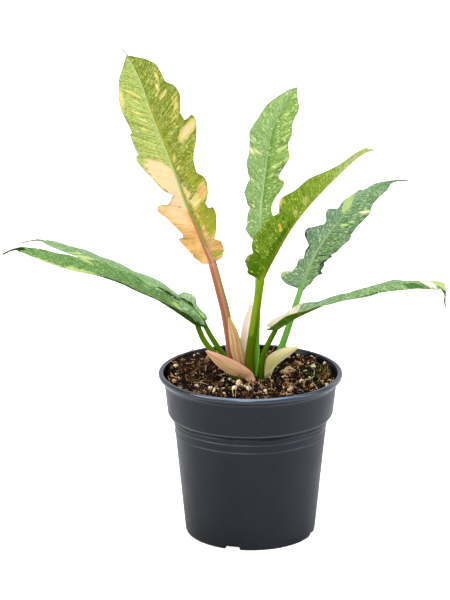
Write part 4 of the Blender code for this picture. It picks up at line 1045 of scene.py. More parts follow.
# Blue-green leaf behind at the right, its upper side to the front. Past its middle it has a
# yellow patch on the left half and a cream patch on the right one.
grow_leaf("blue_green_leaf", "leaf_right_blue_green", 4.0, {
    "stalk": [(9.5, 9, FOOT_Z), (15.8, 11, 112.9), (20.3, 14, 122), (24.7, 17, 134.3),
              (33.2, 24, 159.6)],
    "stalk_across": (5.2, 3.8),
    "rib": [(33.2, 24, 159.6), (43.3, 33, 181.9), (59.2, 42, 201.9), (77.5, 50, 219.8),
            (92.4, 55, 224.3), (103.8, 58, 224.2)],
    "facing": [(0, -0.3, -0.7, 0.6), (1, -0.2, -0.6, 0.8)],
    "lift": [(0, 12, 12), (0.4, 0, 5), (0.7, -35, -5), (1, -40, -10)],
    "vein": [(0, 140), (0.1, 100), (0.25, 65), (1, 38)],
    "wave": 2.0,
    "left": [(0, 1.5), (0.055, 2.7), (0.093, 6.3), (0.112, 12), (0.127, 15.2), (0.14, 15.8),
             (0.153, 14.6), (0.167, 10.8), (0.193, 9.4), (0.22, 9.4), (0.241, 7.2),
             (0.27, 8.8), (0.3, 9.2), (0.317, 14.8), (0.333, 16.1), (0.38, 13.2),
             (0.428, 10.3), (0.447, 11), (0.467, 14), (0.482, 14.4), (0.533, 11.7),
             (0.573, 12.1), (0.673, 10.2), (0.74, 5.8), (0.8, 4.2), (0.9, 1.8), (1, 0)],
    "right": [(0, 1.5), (0.12, 3.4), (0.147, 6.2), (0.167, 6.5), (0.18, 9.6), (0.188, 13.7),
              (0.203, 11.4), (0.248, 9.2), (0.253, 11.5), (0.262, 16.2), (0.292, 11.4),
              (0.313, 14.6), (0.34, 17.9), (0.375, 20.5), (0.393, 19.8), (0.44, 14.8),
              (0.467, 16.4), (0.513, 15.6), (0.54, 17.8), (0.562, 18.9), (0.61, 15.6),
              (0.66, 12.4), (0.69, 12.8), (0.715, 14.3), (0.773, 11.9), (0.83, 7.4),
              (0.89, 2.4), (0.93, 1.1), (1, 0)],
    "gold": [(0.61, -0.55, 0.04, 0.5, 1.15), (0.15, -0.95, 0.03, 0.12, 0.9),
             (0.5, 0.44, 0.012, 0.2, 0.9), (0.52, 0.6, 0.01, 0.2, 0.85)],
    "cream": [(0.585, 0.8, 0.015, 0.28, 0.95)],
    # The dark patches near the base paint the shade in notches and under curled lobes.
    "deep": [(0.235, 0.95, 0.035, 0.2, 1.1), (0.3, -0.97, 0.03, 0.14, 1.1),
             (0.19, 0.95, 0.02, 0.2, 1.0), (0.29, 0.5, 0.006, 0.4, 0.95),
             (0.9, 0.0, 0.1, 1.0, 0.5)],
}, {
    "ground": [(0, "#628a50"), (0.4, "#4e7a42"), (0.7, "#7ca474"), (1, "#4e7840")],
    "halves": ("#86a88c", "#56804a", 0.55), "furrows": 0.15, "weave": 0.2, "sheen": 0.1,
    "light": "#b8d2b0", "dark": "#3a6240", "streaky": 0.5, "mottle": 0.65, "specks": 0.4,
    "gold": ("#b6d27c", "#c0d88c"), "cream": ("#eeeec4", "#e2e8b0"),
    "deep": ("#27442a", "#38583a"), "fleck": "#d8e6a4", "flecks": 0.35,
    "under": ("#6f9860", 0.5), "rim": ("#5c7448", 0.75),
    "strand": [(0, "#5da434"), (0.3, "#77b74a"), (0.5, "#84b967"), (0.6, "#a8c898"),
               (0.92, "#a0c090"), (0.96, "#7a6a40"), (1, "#4a3c24")],
})

# Low leaf at the right, seen nearly edge-on. Its far half is cream near the stalk, and its end
# bends straight down and is brown at the tip. Its underside is tinted dark olive as painted shade.
grow_leaf("low_right_leaf", "leaf_right_low", 5.0, {
    "stalk": [(6.1, 1.2, FOOT_Z), (7.7, -1, 117.9), (10.3, -4, 127.7), (16.6, -9, 141.9)],
    "stalk_across": (4.6, 3.4),
    "rib": [(16.6, -9, 141.9), (28.1, -12, 150.6), (38.6, -15, 156.6), (47.6, -17, 161.4),
            (57.9, -19, 167.1), (70.1, -21, 171.9), (82.2, -24, 176.6), (100.1, -28, 179.8),
            (112.2, -31, 180.9), (119.8, -32, 179.9), (124.7, -33, 174.2), (125.6, -33, 164.9)],
    "facing": [(0, -0.3, 0, 0.95), (0.4, -0.2, 0, 0.97), (0.8, 0, 0, 1), (0.92, 0.6, 0, 0.8),
               (1, 0.95, 0, 0.3)],
    "lift": [(0, 34, 34), (0.05, 38, 34), (0.1, 37, 34), (0.14, 27, 32), (0.2, 8, 26),
             (0.3, -3, 10), (0.36, -8, 2), (0.42, -13, -3), (0.52, -16, -10), (0.62, -16, -15),
             (0.7, -17, -12), (0.8, -18, -18), (1, -20, -20)],
    "vein": [(0, 150), (0.1, 110), (0.25, 65), (1, 38)],
    "wave": 1.2,
    "left": [(0, 9), (0.02, 10.5), (0.045, 10), (0.08, 10), (0.11, 10.5), (0.15, 10.5),
             (0.21, 14), (0.27, 13.5), (0.34, 15.5), (0.41, 14), (0.48, 17.5), (0.55, 14),
             (0.62, 16), (0.69, 12.5), (0.76, 12), (0.84, 11), (0.9, 8.5), (0.95, 5),
             (0.98, 2.4), (1, 0.6)],
    "right": [(0, 2), (0.04, 6), (0.07, 8), (0.1, 7), (0.14, 8), (0.19, 10), (0.25, 10.5),
              (0.33, 13.5), (0.4, 14), (0.5, 17), (0.56, 14), (0.64, 16.5), (0.7, 13.5),
              (0.78, 13), (0.85, 12.5), (0.9, 10), (0.95, 5.5), (0.98, 2.4), (1, 0.6)],
    "cream": [(0.08, -0.6, 0.12, 0.9, 1.1), (0.15, -0.3, 0.05, 0.3, 1),
              (0.825, 0.0, 0.025, 0.8, 1)],
    "gold": [(0.885, 0.0, 0.035, 1.0, 1.1), (0.42, -0.4, 0.03, 0.3, 0.6)],
    "blush": [(1.0, 0.0, 0.05, 1.5, 1)],
    "deep": [(0.75, 0.7, 0.045, 0.5, 1), (0.54, 0.95, 0.08, 0.15, 0.9)],
}, {
    "ground": [(0, "#6c9a50"), (0.3, "#5f8a4c"), (0.5, "#6f9a58"), (0.7, "#7ca266"),
               (0.88, "#90b05c"), (0.95, "#b0a068"), (1, "#a07c58")],
    "halves": ("#8cae94", "#6a9850", 0.6), "furrows": 0.4, "weave": 0.3, "sheen": 0.02,
    "light": "#c8dcba", "dark": "#386832", "streaky": 0.6, "mottle": 0.65, "specks": 0.4,
    "gold": ("#c6d67c", "#d4e094"), "blush": ("#b08a5a", "#8f7044"),
    "cream": ("#fff6e0", "#fcecd0"), "deep": ("#3c6a2c", "#4c7a38"),
    "fleck": "#d4e4a8", "flecks": 0.25,
    "under": ("#476a00", 0.97), "rim": ("#8a7c40", 0.7),
    "strand": [(0, "#3a5c00"), (0.35, "#5c840c"), (0.5, "#486e0a"), (0.6, "#5c8420"),
               (0.92, "#90a860"), (0.97, "#a88460"), (1, "#8a6a50")],
})

# Low leaves at the left, both seen nearly edge-on. The nearer one shows an underside tinted
# nearly black, with dark patches on its near half: painted shade. The farther one lies half
# behind it, has black marks painted as the shade in gaps between its lobes, and ends in a
# brown tip.
grow_leaf("left_near_leaf", "leaf_left_near", 6.0, {
    "stalk": [(-9.2, 2.2, FOOT_Z), (-15, -1, 112), (-25.6, -8, 127.2), (-30.8, -13, 136.2),
              (-34.6, -19, 147.6)],
    "stalk_across": (4.8, 3.6),
    "rib": [(-34.2, -19, 147.6), (-45.7, -24, 157.6), (-57.9, -28, 166.9), (-71.1, -32, 176.5),
            (-83.5, -36, 184), (-97.8, -39, 190.7), (-120, -44, 198.3), (-134.5, -47, 203.4),
            (-143.9, -49, 207), (-149.9, -50, 207.6), (-157.8, -51, 204.3)],
    "facing": [(0, 0.35, -0.04, 0.95), (0.7, 0.15, -0.04, 0.98), (1, 0, 0, 1)],
    "lift": [(0, 25, 12), (0.2, 18, 8), (0.35, 1, 5), (0.6, -4, 6), (0.72, -8, 11),
             (0.8, -14, 8), (0.88, -22, 2), (1, -30, -4)],
    "vein": [(0, 150), (0.1, 110), (0.25, 62), (1, 36)],
    "wave": 0.8,
    "left": [(0, 2), (0.05, 6), (0.1, 9), (0.15, 8.5), (0.21, 13), (0.27, 12.5), (0.35, 16),
             (0.42, 14.8), (0.5, 17), (0.57, 16), (0.64, 16), (0.7, 14), (0.77, 11.5),
             (0.85, 8.6), (0.905, 5.4), (0.935, 1.6), (1, 0)],
    "right": [(0, 2), (0.05, 7), (0.11, 12.5), (0.16, 12), (0.23, 16), (0.3, 14.5),
              (0.37, 17), (0.44, 15), (0.52, 16), (0.58, 14.4), (0.65, 14), (0.72, 12),
              (0.79, 10), (0.86, 7), (0.905, 4.6), (0.935, 1.6), (1, 0)],
    "gold": [(0.6, 0.8, 0.02, 0.45, 1), (0.62, -0.85, 0.08, 0.28, 0.95),
             (0.77, -0.97, 0.09, 0.18, 0.85), (0.34, 0.5, 0.02, 0.3, 0.6),
             (0.2, 0.4, 0.04, 0.4, 0.75)],
    "deep": [(0.935, 0, 0.03, 2.0, 1.1), (0.25, -1.0, 0.29, 0.24, 1.15),
             (0.1, -0.75, 0.14, 0.5, 1.0), (0.05, 0, 0.05, 1.2, 0.7)],
}, {
    "ground": [(0, "#3c6c0c"), (0.15, "#50842c"), (0.35, "#64944a"), (0.9, "#649246"),
               (1, "#33420f")],
    "halves": ("#70a04e", "#5e9044", 0.4), "furrows": 0.4, "weave": 0.3, "sheen": 0.015,
    "light": "#b4d494", "dark": "#2a5812", "streaky": 0.6, "mottle": 0.65, "specks": 0.4,
    "gold": ("#cfe096", "#bcd070"), "deep": ("#142400", "#203800"),
    "fleck": "#c4d888", "flecks": 0.2, "under": ("#1e3c00", 0.95), "rim": ("#7c9c50", 0.0),
    "strand": [(0, "#587c00"), (0.35, "#6c9210"), (0.5, "#3c6c0c"), (0.65, "#84ac5c"),
               (0.93, "#8cae68"), (0.96, "#2c3408"), (1, "#3c3a14")],
})
grow_leaf("left_far_leaf", "leaf_left_far", 7.0, {
    "stalk": [(-6.8, 14.4, FOOT_Z), (-17.4, 12, 116.8), (-25.8, 8, 131.2), (-31.6, 5, 143.4)],
    "stalk_across": (4.6, 3.4),
    "rib": [(-30.9, 5, 143.6), (-37.8, 8, 150.5), (-46.4, 11, 155.8), (-54.3, 13, 160.8),
            (-63.3, 16, 165.2), (-85.5, 22, 173.8), (-98.6, 25, 178.2), (-109.7, 28, 181.6),
            (-121.1, 30, 184.8), (-133.1, 33, 187.8), (-140.4, 34, 189.5), (-150.8, 36, 187.5)],
    "facing": [(0, 0.35, -0.05, 0.95), (1, 0.1, -0.05, 0.98)],
    "lift": [(0, 10, 5), (0.08, 8, 8), (0.15, 5, 10), (0.2, 2, 10), (0.26, 0, -6),
             (0.55, 0, -10), (0.75, 0, -3), (1, 0, -6)],
    "vein": [(0, 150), (0.1, 110), (0.25, 62), (1, 36)],
    "wave": 0.8,
    "left": [(0, 2), (0.05, 6), (0.1, 10), (0.16, 8.5), (0.23, 14), (0.29, 12), (0.36, 16),
             (0.43, 13.5), (0.5, 16.5), (0.57, 14), (0.64, 14.5), (0.71, 13), (0.78, 10),
             (0.85, 5.6), (0.9, 1.5), (1, 0.4)],
    "right": [(0, 1.5), (0.04, 2), (0.07, 4), (0.1, 5.5), (0.13, 6.5), (0.15, 6),
              (0.168, 7), (0.184, 11.5), (0.204, 13.8), (0.224, 13), (0.238, 9), (0.26, 10.6),
              (0.3, 12.4), (0.37, 13.8), (0.44, 13.4), (0.51, 15.2), (0.57, 14.8),
              (0.64, 15.6), (0.71, 13.5), (0.78, 12), (0.85, 8), (0.9, 3), (1, 0.4)],
    "gold": [(0.72, -0.4, 0.02, 0.4, 1), (0.66, -0.6, 0.03, 0.4, 0.95),
             (0.54, -0.5, 0.02, 0.3, 0.8), (0.12, 0.2, 0.04, 0.4, 0.8)],
    "deep": [(0.275, -0.27, 0.035, 0.17, 2.2), (0.2, 0.2, 0.03, 0.09, 2.0)],
    "blush": [(0.98, 0.0, 0.07, 2.0, 1)],
}, {
    "ground": [(0, "#64983c"), (0.3, "#7cac5c"), (0.6, "#74985c"), (0.8, "#4c6e3a"),
               (0.92, "#4a6a3a"), (1, "#6a5638")],
    "halves": ("#9ccc78", "#9cbc8c", 0.55), "furrows": 0.5, "weave": 0.3, "sheen": 0.05,
    "light": "#cce2ba", "dark": "#3c7430", "streaky": 0.65, "mottle": 0.65, "specks": 0.4,
    "gold": ("#d0e09a", "#c2d880"), "deep": ("#0f1c04", "#1c3408"),
    "blush": ("#7a5f3c", "#6a4f30"), "fleck": "#d4e2a0", "flecks": 0.2,
    "under": ("#7c9c64", 0.5), "rim": ("#748468", 0.75),
    "strand": [(0, "#5a8008"), (0.35, "#6c9414"), (0.5, "#5c9028"), (0.65, "#8cb468"),
               (0.93, "#94b070"), (0.96, "#7c5c3c"), (1, "#6a4c30")],
})

# Bud scales. Thin sheaths that each wrapped a new leaf: fleshy at the foot, papery at the tip,
# hollowed lengthwise with two faint keels. Three are drying to pink and tan, one is still green.
SCALE_THICKNESS = 0.5
SCALE_RINGS, SCALE_POINTS = 60, 19


def scale_rings(scale, seed):
    """Cross-sections of a bud scale, with shallow ribs lengthwise."""
    path = smooth_line(scale["path"], SCALE_RINGS)
    tangents = np.gradient(path, axis=0)
    knots = np.linspace(0, 1, len(scale["half_widths"]))
    length = line_length(path)
    rings = []
    marks = {key: [] for key in ("place", "along", "across")}
    for k, (place, tangent) in enumerate(zip(path, tangents)):
        share = k / (SCALE_RINGS - 1)
        near = np.clip(share + 0.06 * np.linspace(-1, 1, 7), 0, 1)
        half_width = np.interp(near, knots, scale["half_widths"]).mean()
        forward = unit(tangent)
        across = along(scale["across"], share)
        across = unit(across - forward * (across @ forward))
        normal = np.cross(across, forward)
        outer, inner = [], []
        spread = np.linspace(-1, 1, SCALE_POINTS)
        for t in spread:
            slope = 2 * scale["hollow"] * t
            face = unit(normal - slope * across)
            rib = 0.12 * math.cos(t * 16 + seed) + scale["crumple"] * noise.noise(
                Vector((share * 5, t * 1.3, seed * 3.1)))
            middle = place + half_width * (t * across + scale["hollow"] * t * t * normal)
            middle = middle + rib * face * (1 - t ** 4)
            thick = SCALE_THICKNESS / 2 * (1 - 0.6 * t ** 4)
            outer.append(middle - face * thick)
            inner.append(middle + face * thick)
        rings.append(np.array(inner + outer[::-1]))
        count = 2 * SCALE_POINTS
        both = np.concatenate([spread, spread[::-1]])
        marks["place"].append(np.column_stack([np.full(count, share * length),
                                               both * half_width, np.zeros(count)]))
        marks["along"].append(np.full(count, share))
        marks["across"].append(both)
    return rings, marks


def scale_finish(name, look):
    """Papery sheath tissue: fine veins 0.4 mm apart run its length, and it lets light through."""
    finish, tree, output = new_tree(name.replace("_", " ") + ", papery sheath")
    share = add(tree, "Attribute", {"attribute_name": "along"}).outputs["Fac"]
    across = add(tree, "Attribute", {"attribute_name": "across"}).outputs["Fac"]
    where = add(tree, "Attribute", {"attribute_name": "place"}).outputs["Vector"]
    drawn = add(tree, "VectorMath", {"operation": "MULTIPLY"}, {0: where, 1: (0.07, 1.5, 1.0)})
    veins = add(tree, "TexNoise", inputs={"Vector": drawn.outputs[0], "Scale": 1.0, "Detail": 4.0})
    blotch = add(tree, "VectorMath", {"operation": "MULTIPLY"}, {0: where, 1: (0.14, 0.35, 1.0)})
    blotches = add(tree, "TexNoise", inputs={"Vector": blotch.outputs[0], "Scale": 1.0,
                                             "Detail": 3.0})
    shifted = add(tree, "Math", {"operation": "MULTIPLY_ADD"},
                  {0: blotches.outputs[0], 1: 0.3, 2: share})
    shifted = add(tree, "Math", {"operation": "SUBTRACT"}, {0: shifted.outputs[0], 1: 0.15})
    length_tint = add(tree, "ValToRGB", {"stops": look["length"]}, {0: shifted.outputs[0]})
    spread = add(tree, "MapRange", inputs={0: across, 1: -1.0, 2: 1.0})
    side_tint = add(tree, "ValToRGB", {"stops": look["sides"]}, {0: spread.outputs[0]})
    tint = add(tree, "Mix", {"data_type": "RGBA"}, {0: look["side_share"],
                                                    6: length_tint.outputs[0],
                                                    7: side_tint.outputs[0]})
    vein = add(tree, "MapRange", inputs={0: veins.outputs[0], 1: 0.45, 2: 0.62, 3: 0.0, 4: 0.6})
    tint = add(tree, "Mix", {"data_type": "RGBA"}, {0: vein.outputs[0], 6: tint.outputs[2],
                                                   7: srgb(look["vein"])})
    bump = add(tree, "Bump", inputs={"Strength": 0.5, "Distance": 0.0002,
                                     "Height": veins.outputs[0]})
    paper = add(tree, "BsdfPrincipled", inputs={"Base Color": tint.outputs[2], "Roughness": 0.5,
                                                "IOR": 1.42, "Specular IOR Level": 0.25,
                                                "Normal": bump.outputs[0]})
    glow = add(tree, "BsdfTranslucent", inputs={"Color": tint.outputs[2],
                                                "Normal": bump.outputs[0]})
    sheath = add(tree, "MixShader", inputs={0: 0.12, 1: paper.outputs[0], 2: glow.outputs[0]})
    tree.links.new(sheath.outputs[0], output.inputs[0])
    return finish


def shed_scale(name, node, seed, shape, look):
    piece = loft(name, *scale_rings(shape, seed))
    piece.data.materials.append(scale_finish(node, look))
    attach(piece, "root")
    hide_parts(node)


shed_scale("salmon_bud_scale", "bud_scale_front", 1.0, {
    "path": [(1.7, -4, FOOT_Z), (-2.1, -5.4, 109.2), (-8.2, -8, 112.8), (-14.7, -11, 117.2),
             (-21.2, -14, 122.6), (-28.4, -17, 129.2)],
    "half_widths": (2, 3.6, 5.2, 4.6, 3.2, 0.7),
    "across": [(0, -1, 0, 0), (0.3, -0.5, 0, -0.87), (1, -0.5, 0, -0.87)],
    "hollow": 0.35, "crumple": 0.3,
}, {
    "length": [(0.0, "#f8dcc8"), (0.08, "#eebfa8"), (0.14, "#a4503c"), (0.2, "#d28e6e"),
               (0.45, "#dcae7a"), (0.7, "#dcb074"), (0.88, "#f0a88c"), (1.0, "#f09c84")],
    "sides": [(0.0, "#ecaa90"), (0.3, "#e4a880"), (0.6, "#b4a254"), (0.85, "#e4ac80"),
              (1.0, "#f8dcc0")], "side_share": 0.55,
    "vein": "#f2cca8",
})
shed_scale("tan_bud_scale", "bud_scale_tan", 2.0, {
    "path": [(-5, 3.4, FOOT_Z), (-7.6, 0, 117.7), (-9.3, -2.2, 125.3), (-10.4, -4.5, 132.9),
             (-11.8, -7, 140.5), (-14, -10, 150)],
    "half_widths": (1.8, 3.3, 3.9, 3.7, 2.8, 0.7),
    "across": [(0, -1, 0, 0), (1, -1, 0, 0)],
    "hollow": 0.3, "crumple": 0.25,
}, {
    "length": [(0.0, "#dca888"), (0.5, "#ecc08c"), (0.8, "#e4c88c"), (1.0, "#d8cc88")],
    "sides": [(0.0, "#f0c8a0"), (0.22, "#f4d0a0"), (0.36, "#a88440"), (0.46, "#eccc94"),
              (0.62, "#e8c48c"), (0.72, "#9c8438"), (0.82, "#f0d0a4"), (1.0, "#eab498")],
    "side_share": 0.65, "vein": "#c89c5c",
})
shed_scale("pink_bud_scale", "bud_scale_pink", 3.0, {
    "path": [(-2.6, 13, FOOT_Z), (-2.8, 12.5, 119.3), (-2.6, 12.5, 131), (-1.5, 12.5, 142.7),
             (0.4, 12.5, 152.4)],
    "half_widths": (2.2, 4, 4.2, 3.2, 0.7),
    "across": [(0, 1, 0, 0), (1, 1, 0, 0)],
    "hollow": 0.3, "crumple": 0.25,
}, {
    "length": [(0.0, "#f4d0b0"), (0.5, "#fff0dc"), (1.0, "#fff0dc")],
    "sides": [(0.0, "#fff2e0"), (0.7, "#fcdcc8"), (1.0, "#fff4e0")], "side_share": 0.5,
    "vein": "#fdeee2",
})
shed_scale("cream_bud_scale", "bud_scale_cream", 4.0, {
    "path": [(11.1, 3.3, FOOT_Z), (11.9, 2, 111.6), (14.4, 1, 116.3), (18.9, 0, 120.2),
             (24.6, -1, 123.8), (31.2, -1, 127)],
    "half_widths": (1.8, 3.4, 4.5, 4.2, 3.1, 0.6),
    "across": [(0, -1, 0, 0), (0.35, -0.65, -0.1, 0.76), (1, -0.65, -0.1, 0.76)],
    "hollow": 0.3, "crumple": 0.3,
}, {
    "length": [(0.0, "#f4dc90"), (0.4, "#f2e490"), (0.8, "#f4e4b8"), (1.0, "#fcf2d4")],
    "sides": [(0.0, "#f8d8a8"), (0.12, "#fbe4b4"), (0.35, "#bcc45c"), (0.6, "#e6dc7a"),
              (0.75, "#fce2a8"), (1.0, "#fff0dc")],
    "side_share": 0.7, "vein": "#f0ecc4",
})

# The dry scrap is the torn end of an old scale, papery and tan. It came off by itself and
# stands loose on the mix, its folded face forward.
SCRAP_PATH = [(19.6, 13.5, 0.6), (22.4, 13, 1.6), (25.4, 12.8, 2.5), (27.8, 13, 1.6),
              (30, 13.4, 0.5)]
shed_scale("dry_scale_scrap", "dry_scrap", 5.0, {
    "path": [(x, y, mix_height(x, y) + above) for x, y, above in SCRAP_PATH],
    "half_widths": (0.5, 1.8, 3.2, 2.3, 0.7),
    "across": [(0, 0.15, 0.5, 0.85), (1, 0.15, 0.5, 0.85)],
    "hollow": 0.3, "crumple": 0.6,
}, {
    "length": [(0.0, "#dcb07c"), (0.45, "#f4d4a4"), (0.6, "#c89a64"), (1.0, "#e8c08c")],
    "sides": [(0.0, "#c08c58"), (0.5, "#f4d0a0"), (1.0, "#e8bc88")], "side_share": 0.5,
    "vein": "#a87c48",
})

# Loose bits on the mix. Bark chips, crumbs, coir fibres, pumice and a little moss, as they lie
# when a pot is filled by hand and watered in.
CRUMBS, CHIPS, SMALL_LUMPS, FIBRES, TANGLED_FIBRES, SHOOTS = 3400, 260, 60, 1500, 650, 150
# Where each stalk stands, and how far the bits keep off it.
STALK_FEET = [(-8.7, 8.6, 3.4), (3.2, 9, 2.8), (-0.3, 1.2, 3.3), (9.5, 9, 2.8), (6.1, 1.2, 2.5),
              (-9.2, 2.2, 2.6), (-6.8, 14.4, 2.5)]
dice = np.random.default_rng(21)


def free_spot(size, keep_off=0.0):
    """A random place on the mix that is clear of the stalks and of the pot's wall."""
    while True:
        r = (SOIL_RADIUS - 0.4 * size) * math.sqrt(dice.random())
        a = 2 * math.pi * dice.random()
        x, y = r * math.cos(a), r * math.sin(a)
        if math.hypot(x, y - CROWN_Y) < keep_off:
            continue
        if all(math.hypot(x - fx, y - fy) > foot + 0.4 * size for fx, fy, foot in STALK_FEET):
            return x, y


def random_turn():
    """A random rotation matrix."""
    q = dice.normal(size=4)
    w, x, y, z = q / np.linalg.norm(q)
    return np.array([[1 - 2 * (y * y + z * z), 2 * (x * y - z * w), 2 * (x * z + y * w)],
                     [2 * (x * y + z * w), 1 - 2 * (x * x + z * z), 2 * (y * z - x * w)],
                     [2 * (x * z - y * w), 2 * (y * z + x * w), 1 - 2 * (x * x + y * y)]])


def ball(subdivisions):
    """Points and faces of an icosphere of radius 1."""
    bm = bmesh.new()
    bmesh.ops.create_icosphere(bm, subdivisions=subdivisions, radius=1)
    bm.verts.ensure_lookup_table()
    points = np.array([vert.co for vert in bm.verts])
    faces = np.array([[vert.index for vert in face.verts] for face in bm.faces])
    bm.free()
    return points, faces


def joined(name, bodies, finish, smooth=False):
    """One piece from many small closed bodies (points, faces, tone)."""
    points, faces, tones, count = [], [], [], 0
    for body_points, body_faces, tone in bodies:
        points.append(body_points)
        faces.extend((np.asarray(body_faces) + count).tolist())
        tones.append(np.full(len(body_points), tone))
        count += len(body_points)
    mesh = bpy.data.meshes.new(name)
    mesh.from_pydata(np.concatenate(points) * MM, [], faces)
    mesh.attributes.new("tone", "FLOAT", "POINT").data.foreach_set(
        "value", np.concatenate(tones).astype(np.float32))
    if smooth:
        mesh.shade_smooth()
    mesh.materials.append(finish)
    piece = bpy.data.objects.new(name, mesh)
    scene.collection.objects.link(piece)
    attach(piece, "root")
    return piece


def toned(name, stops, scale, roughness, relief):
    """Matt natural material whose colour is each bit's own tone, broken up at this scale."""
    finish, tree, output = new_tree(name)
    tone = add(tree, "Attribute", {"attribute_name": "tone"}).outputs["Fac"]
    where = add(tree, "TexCoord").outputs["Object"]
    mottle = add(tree, "TexNoise", inputs={"Vector": where, "Scale": scale, "Detail": 4.0})
    level = add(tree, "Math", {"operation": "MULTIPLY_ADD"},
                {0: mottle.outputs[0], 1: 0.5, 2: tone})
    level = add(tree, "Math", {"operation": "SUBTRACT"}, {0: level.outputs[0], 1: 0.25})
    colour = add(tree, "ValToRGB", {"stops": stops}, {0: level.outputs[0]})
    bump = add(tree, "Bump", inputs={"Strength": 0.7, "Distance": relief,
                                     "Height": mottle.outputs[0]})
    matter = add(tree, "BsdfPrincipled", inputs={"Base Color": colour.outputs[0],
                                                 "Roughness": roughness,
                                                 "Specular IOR Level": 0.15,
                                                 "Normal": bump.outputs[0]})
    tree.links.new(matter.outputs[0], output.inputs[0])
    return finish


def chip(x, y, size, template, flat, jag):
    """An angular bit lying on the mix."""
    points, faces = template
    shape = points * (1 + jag * dice.uniform(-1, 1, (len(points), 1)))
    shape = shape * (size / 2 * np.array([1, dice.uniform(0.45, 0.8), dice.uniform(*flat)]))
    shape = shape @ random_turn().T
    lift = dice.uniform(-0.1, 0.35) * size
    return shape + np.array([x, y, mix_height(x, y) - 0.3 + lift]), faces


# Composted bark: crumbs of 1 to 2 mm all over, and flatter chips of 3 to 6 mm away from the
# crown, a few of them freshly broken and pale.
crumb_shape, chip_shape, lump_shape = ball(1), ball(2), ball(3)
bark = toned("composted bark", [(0.0, "#060302"), (0.4, "#160b06"), (0.55, "#4c2c14"),
                                (0.75, "#b08450"), (0.95, "#f0d8ac")], 900.0, 0.9, 0.0003)
crumbs = []
for _ in range(CRUMBS):
    size = dice.uniform(0.8, 2.2)
    crumbs.append((*chip(*free_spot(size), size, crumb_shape, (0.5, 0.9), 0.35),
                   dice.beta(0.45, 0.8)))
joined("bark_crumbs", crumbs, bark)
chips = []
for _ in range(CHIPS):
    size = dice.uniform(2.6, 6.0)
    chips.append((*chip(*free_spot(size, 16), size, chip_shape, (0.2, 0.5), 0.22),
                  dice.beta(0.5, 1.4)))
joined("bark_chips", chips, bark)

# Crushed pumice: lumps of 1 to 5 mm, each full of pits, pale and dry on top of the mix. The
# larger ones lie about where the photo shows them.
pumice = toned("crushed pumice", [(0.0, "#9a7454"), (0.4, "#d8b890"), (0.7, "#f0dcba"),
                                  (1.0, "#fbf2e0")], 1100.0, 0.9, 0.0004)
PUMICE = [(-15.6, 46.9, 1.8), (-13.2, -5.8, 2.6), (-18.2, -11.1, 2.2), (-35.1, -20.7, 2.8),
          (-26.3, -24.6, 3.0), (-10.2, -27.2, 3.8), (-1.0, -24.4, 3.8), (26.4, -22.7, 4.6),
          (9.7, -28.3, 2.4), (41.6, 19.2, 3.0), (43.0, 5.5, 2.6), (41.9, 41.4, 2.2),
          (52.0, -1.1, 2.0), (49.2, 24.9, 2.2), (-49.3, 16.2, 2.4), (-37.5, 35.5, 2.0),
          (-20.9, 18.7, 2.0)]
lumps = []
for x, y, size in PUMICE + [(*free_spot(2, 12), dice.uniform(0.8, 1.7))
                            for _ in range(SMALL_LUMPS)]:
    points, faces = lump_shape
    pits = np.array([noise.noise(Vector(p * 1.5 + np.array([x, y, 0])))
                     + 0.5 * noise.noise(Vector(p * 3.7 + np.array([y, x, 0]))) for p in points])
    shape = points * (1 + 0.55 * pits[:, None]) * size / 2 * dice.uniform(0.7, 1.2, 3)
    shape = shape @ random_turn().T
    lumps.append((shape + np.array([x, y, mix_height(x, y) + 0.24 * size]), faces,
                  dice.uniform(0.5, 0.9) if size > 1.7 else dice.uniform(0.2, 0.8)))
joined("pumice_lumps", lumps, pumice, smooth=True)


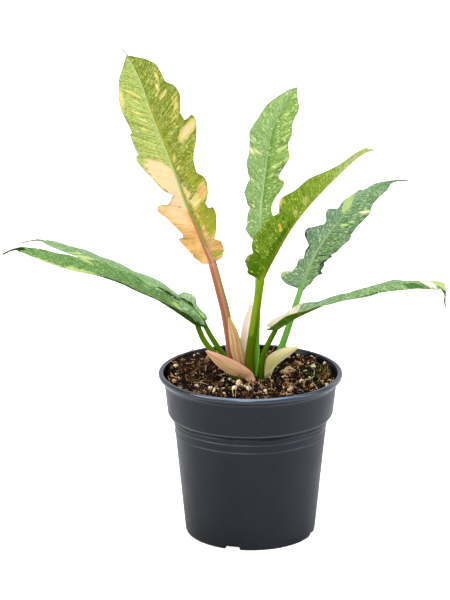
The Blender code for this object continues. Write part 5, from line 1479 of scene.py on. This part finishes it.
def strand(start, heading, length, radius, curl, rise, points=9, sides=5):
    """A closed thin tube that wanders over the mix and may lift off it."""
    place, pitch = np.array(start, float), rise
    spine = [place]
    for _ in range(points - 1):
        heading += dice.normal(0, curl)
        pitch += dice.normal(0, curl * 0.6)
        step = np.array([math.cos(heading) * math.cos(pitch),
                         math.sin(heading) * math.cos(pitch), math.sin(pitch)])
        place = place + step * length / (points - 1)
        if math.hypot(place[0], place[1]) > SOIL_RADIUS - 0.5:
            place[:2] *= (SOIL_RADIUS - 0.5) / math.hypot(place[0], place[1])
        lowest = mix_height(place[0], place[1]) - 0.2
        if place[2] < lowest:
            place[2], pitch = lowest, abs(pitch) * 0.5
        spine.append(place)
    spine = np.array(spine)
    tangents = np.gradient(spine, axis=0)
    rings = []
    for k, (spot, tangent) in enumerate(zip(spine, tangents)):
        forward = unit(tangent + 1e-9)
        side = unit(np.cross(forward, (0.3, 0.2, 0.93)))
        up = np.cross(side, forward)
        thin = radius * (0.35 + 0.65 * math.sin(math.pi * (0.08 + 0.84 * k / (points - 1))))
        turns = 2 * math.pi * np.arange(sides) / sides
        rings.append(spot + thin * (np.cos(turns)[:, None] * side + np.sin(turns)[:, None] * up))
    faces = []
    for r in range(points - 1):
        for k in range(sides):
            a, b = r * sides + k, r * sides + (k + 1) % sides
            faces += [(a, b, b + sides), (a, b + sides, a + sides)]
    last = (points - 1) * sides
    for k in range(1, sides - 1):
        faces += [(0, k + 1, k), (last, last + k, last + k + 1)]
    return np.concatenate(rings), faces


# Coir: loose fibres of coconut husk, 0.2 to 0.5 mm thick and 4 to 15 mm long. They lie closest
# in a tangle at the left.
coir = toned("coir fibre", [(0.0, "#0c0502"), (0.35, "#32190a"), (0.6, "#805028"),
                            (0.8, "#d0a468"), (1.0, "#fae4bc")], 500.0, 0.8, 0.0001)
fibres = []
for k in range(FIBRES):
    if k < TANGLED_FIBRES:
        x, y = dice.normal(-36, 9), dice.normal(6, 16)
        if math.hypot(x, y) > SOIL_RADIUS - 2:
            x, y = free_spot(1)
    else:
        x, y = free_spot(1)
    start = (x, y, mix_height(x, y) + dice.uniform(-0.2, 0.9))
    fibres.append((*strand(start, dice.uniform(0, 2 * math.pi), dice.uniform(4, 15),
                           dice.uniform(0.1, 0.26), 0.35, dice.normal(0.02, 0.16)),
                   dice.beta(0.5, 1.4)))
# One stout fibre stands up over the lip at the left.
fibres.append((*strand((-54.0, 30.0, 105.5), 2.4, 5, 0.3, 0.3, 1.2), 0.1))
joined("coir_fibres", fibres, coir, smooth=True)

# Moss: short olive shoots, 1.5 to 3.5 mm long, that have grown up through the mix at the
# right, where it stays wettest.
moss = toned("moss", [(0.0, "#20280a"), (0.5, "#545c20"), (1.0, "#a8a850")], 800.0, 0.7, 0.0001)
shoots = []
for _ in range(SHOOTS):
    x, y = dice.normal(45, 5), dice.normal(12, 12)
    if math.hypot(x, y) > SOIL_RADIUS - 1:
        continue
    start = (x, y, mix_height(x, y) + 0.2)
    shoots.append((*strand(start, dice.uniform(0, 2 * math.pi), dice.uniform(1.5, 3.5),
                           dice.uniform(0.15, 0.35), 0.5, dice.uniform(0.2, 1.0), points=6),
                   dice.random()))
joined("moss_shoots", shoots, moss, smooth=True)

bpy.context.view_layer.update()
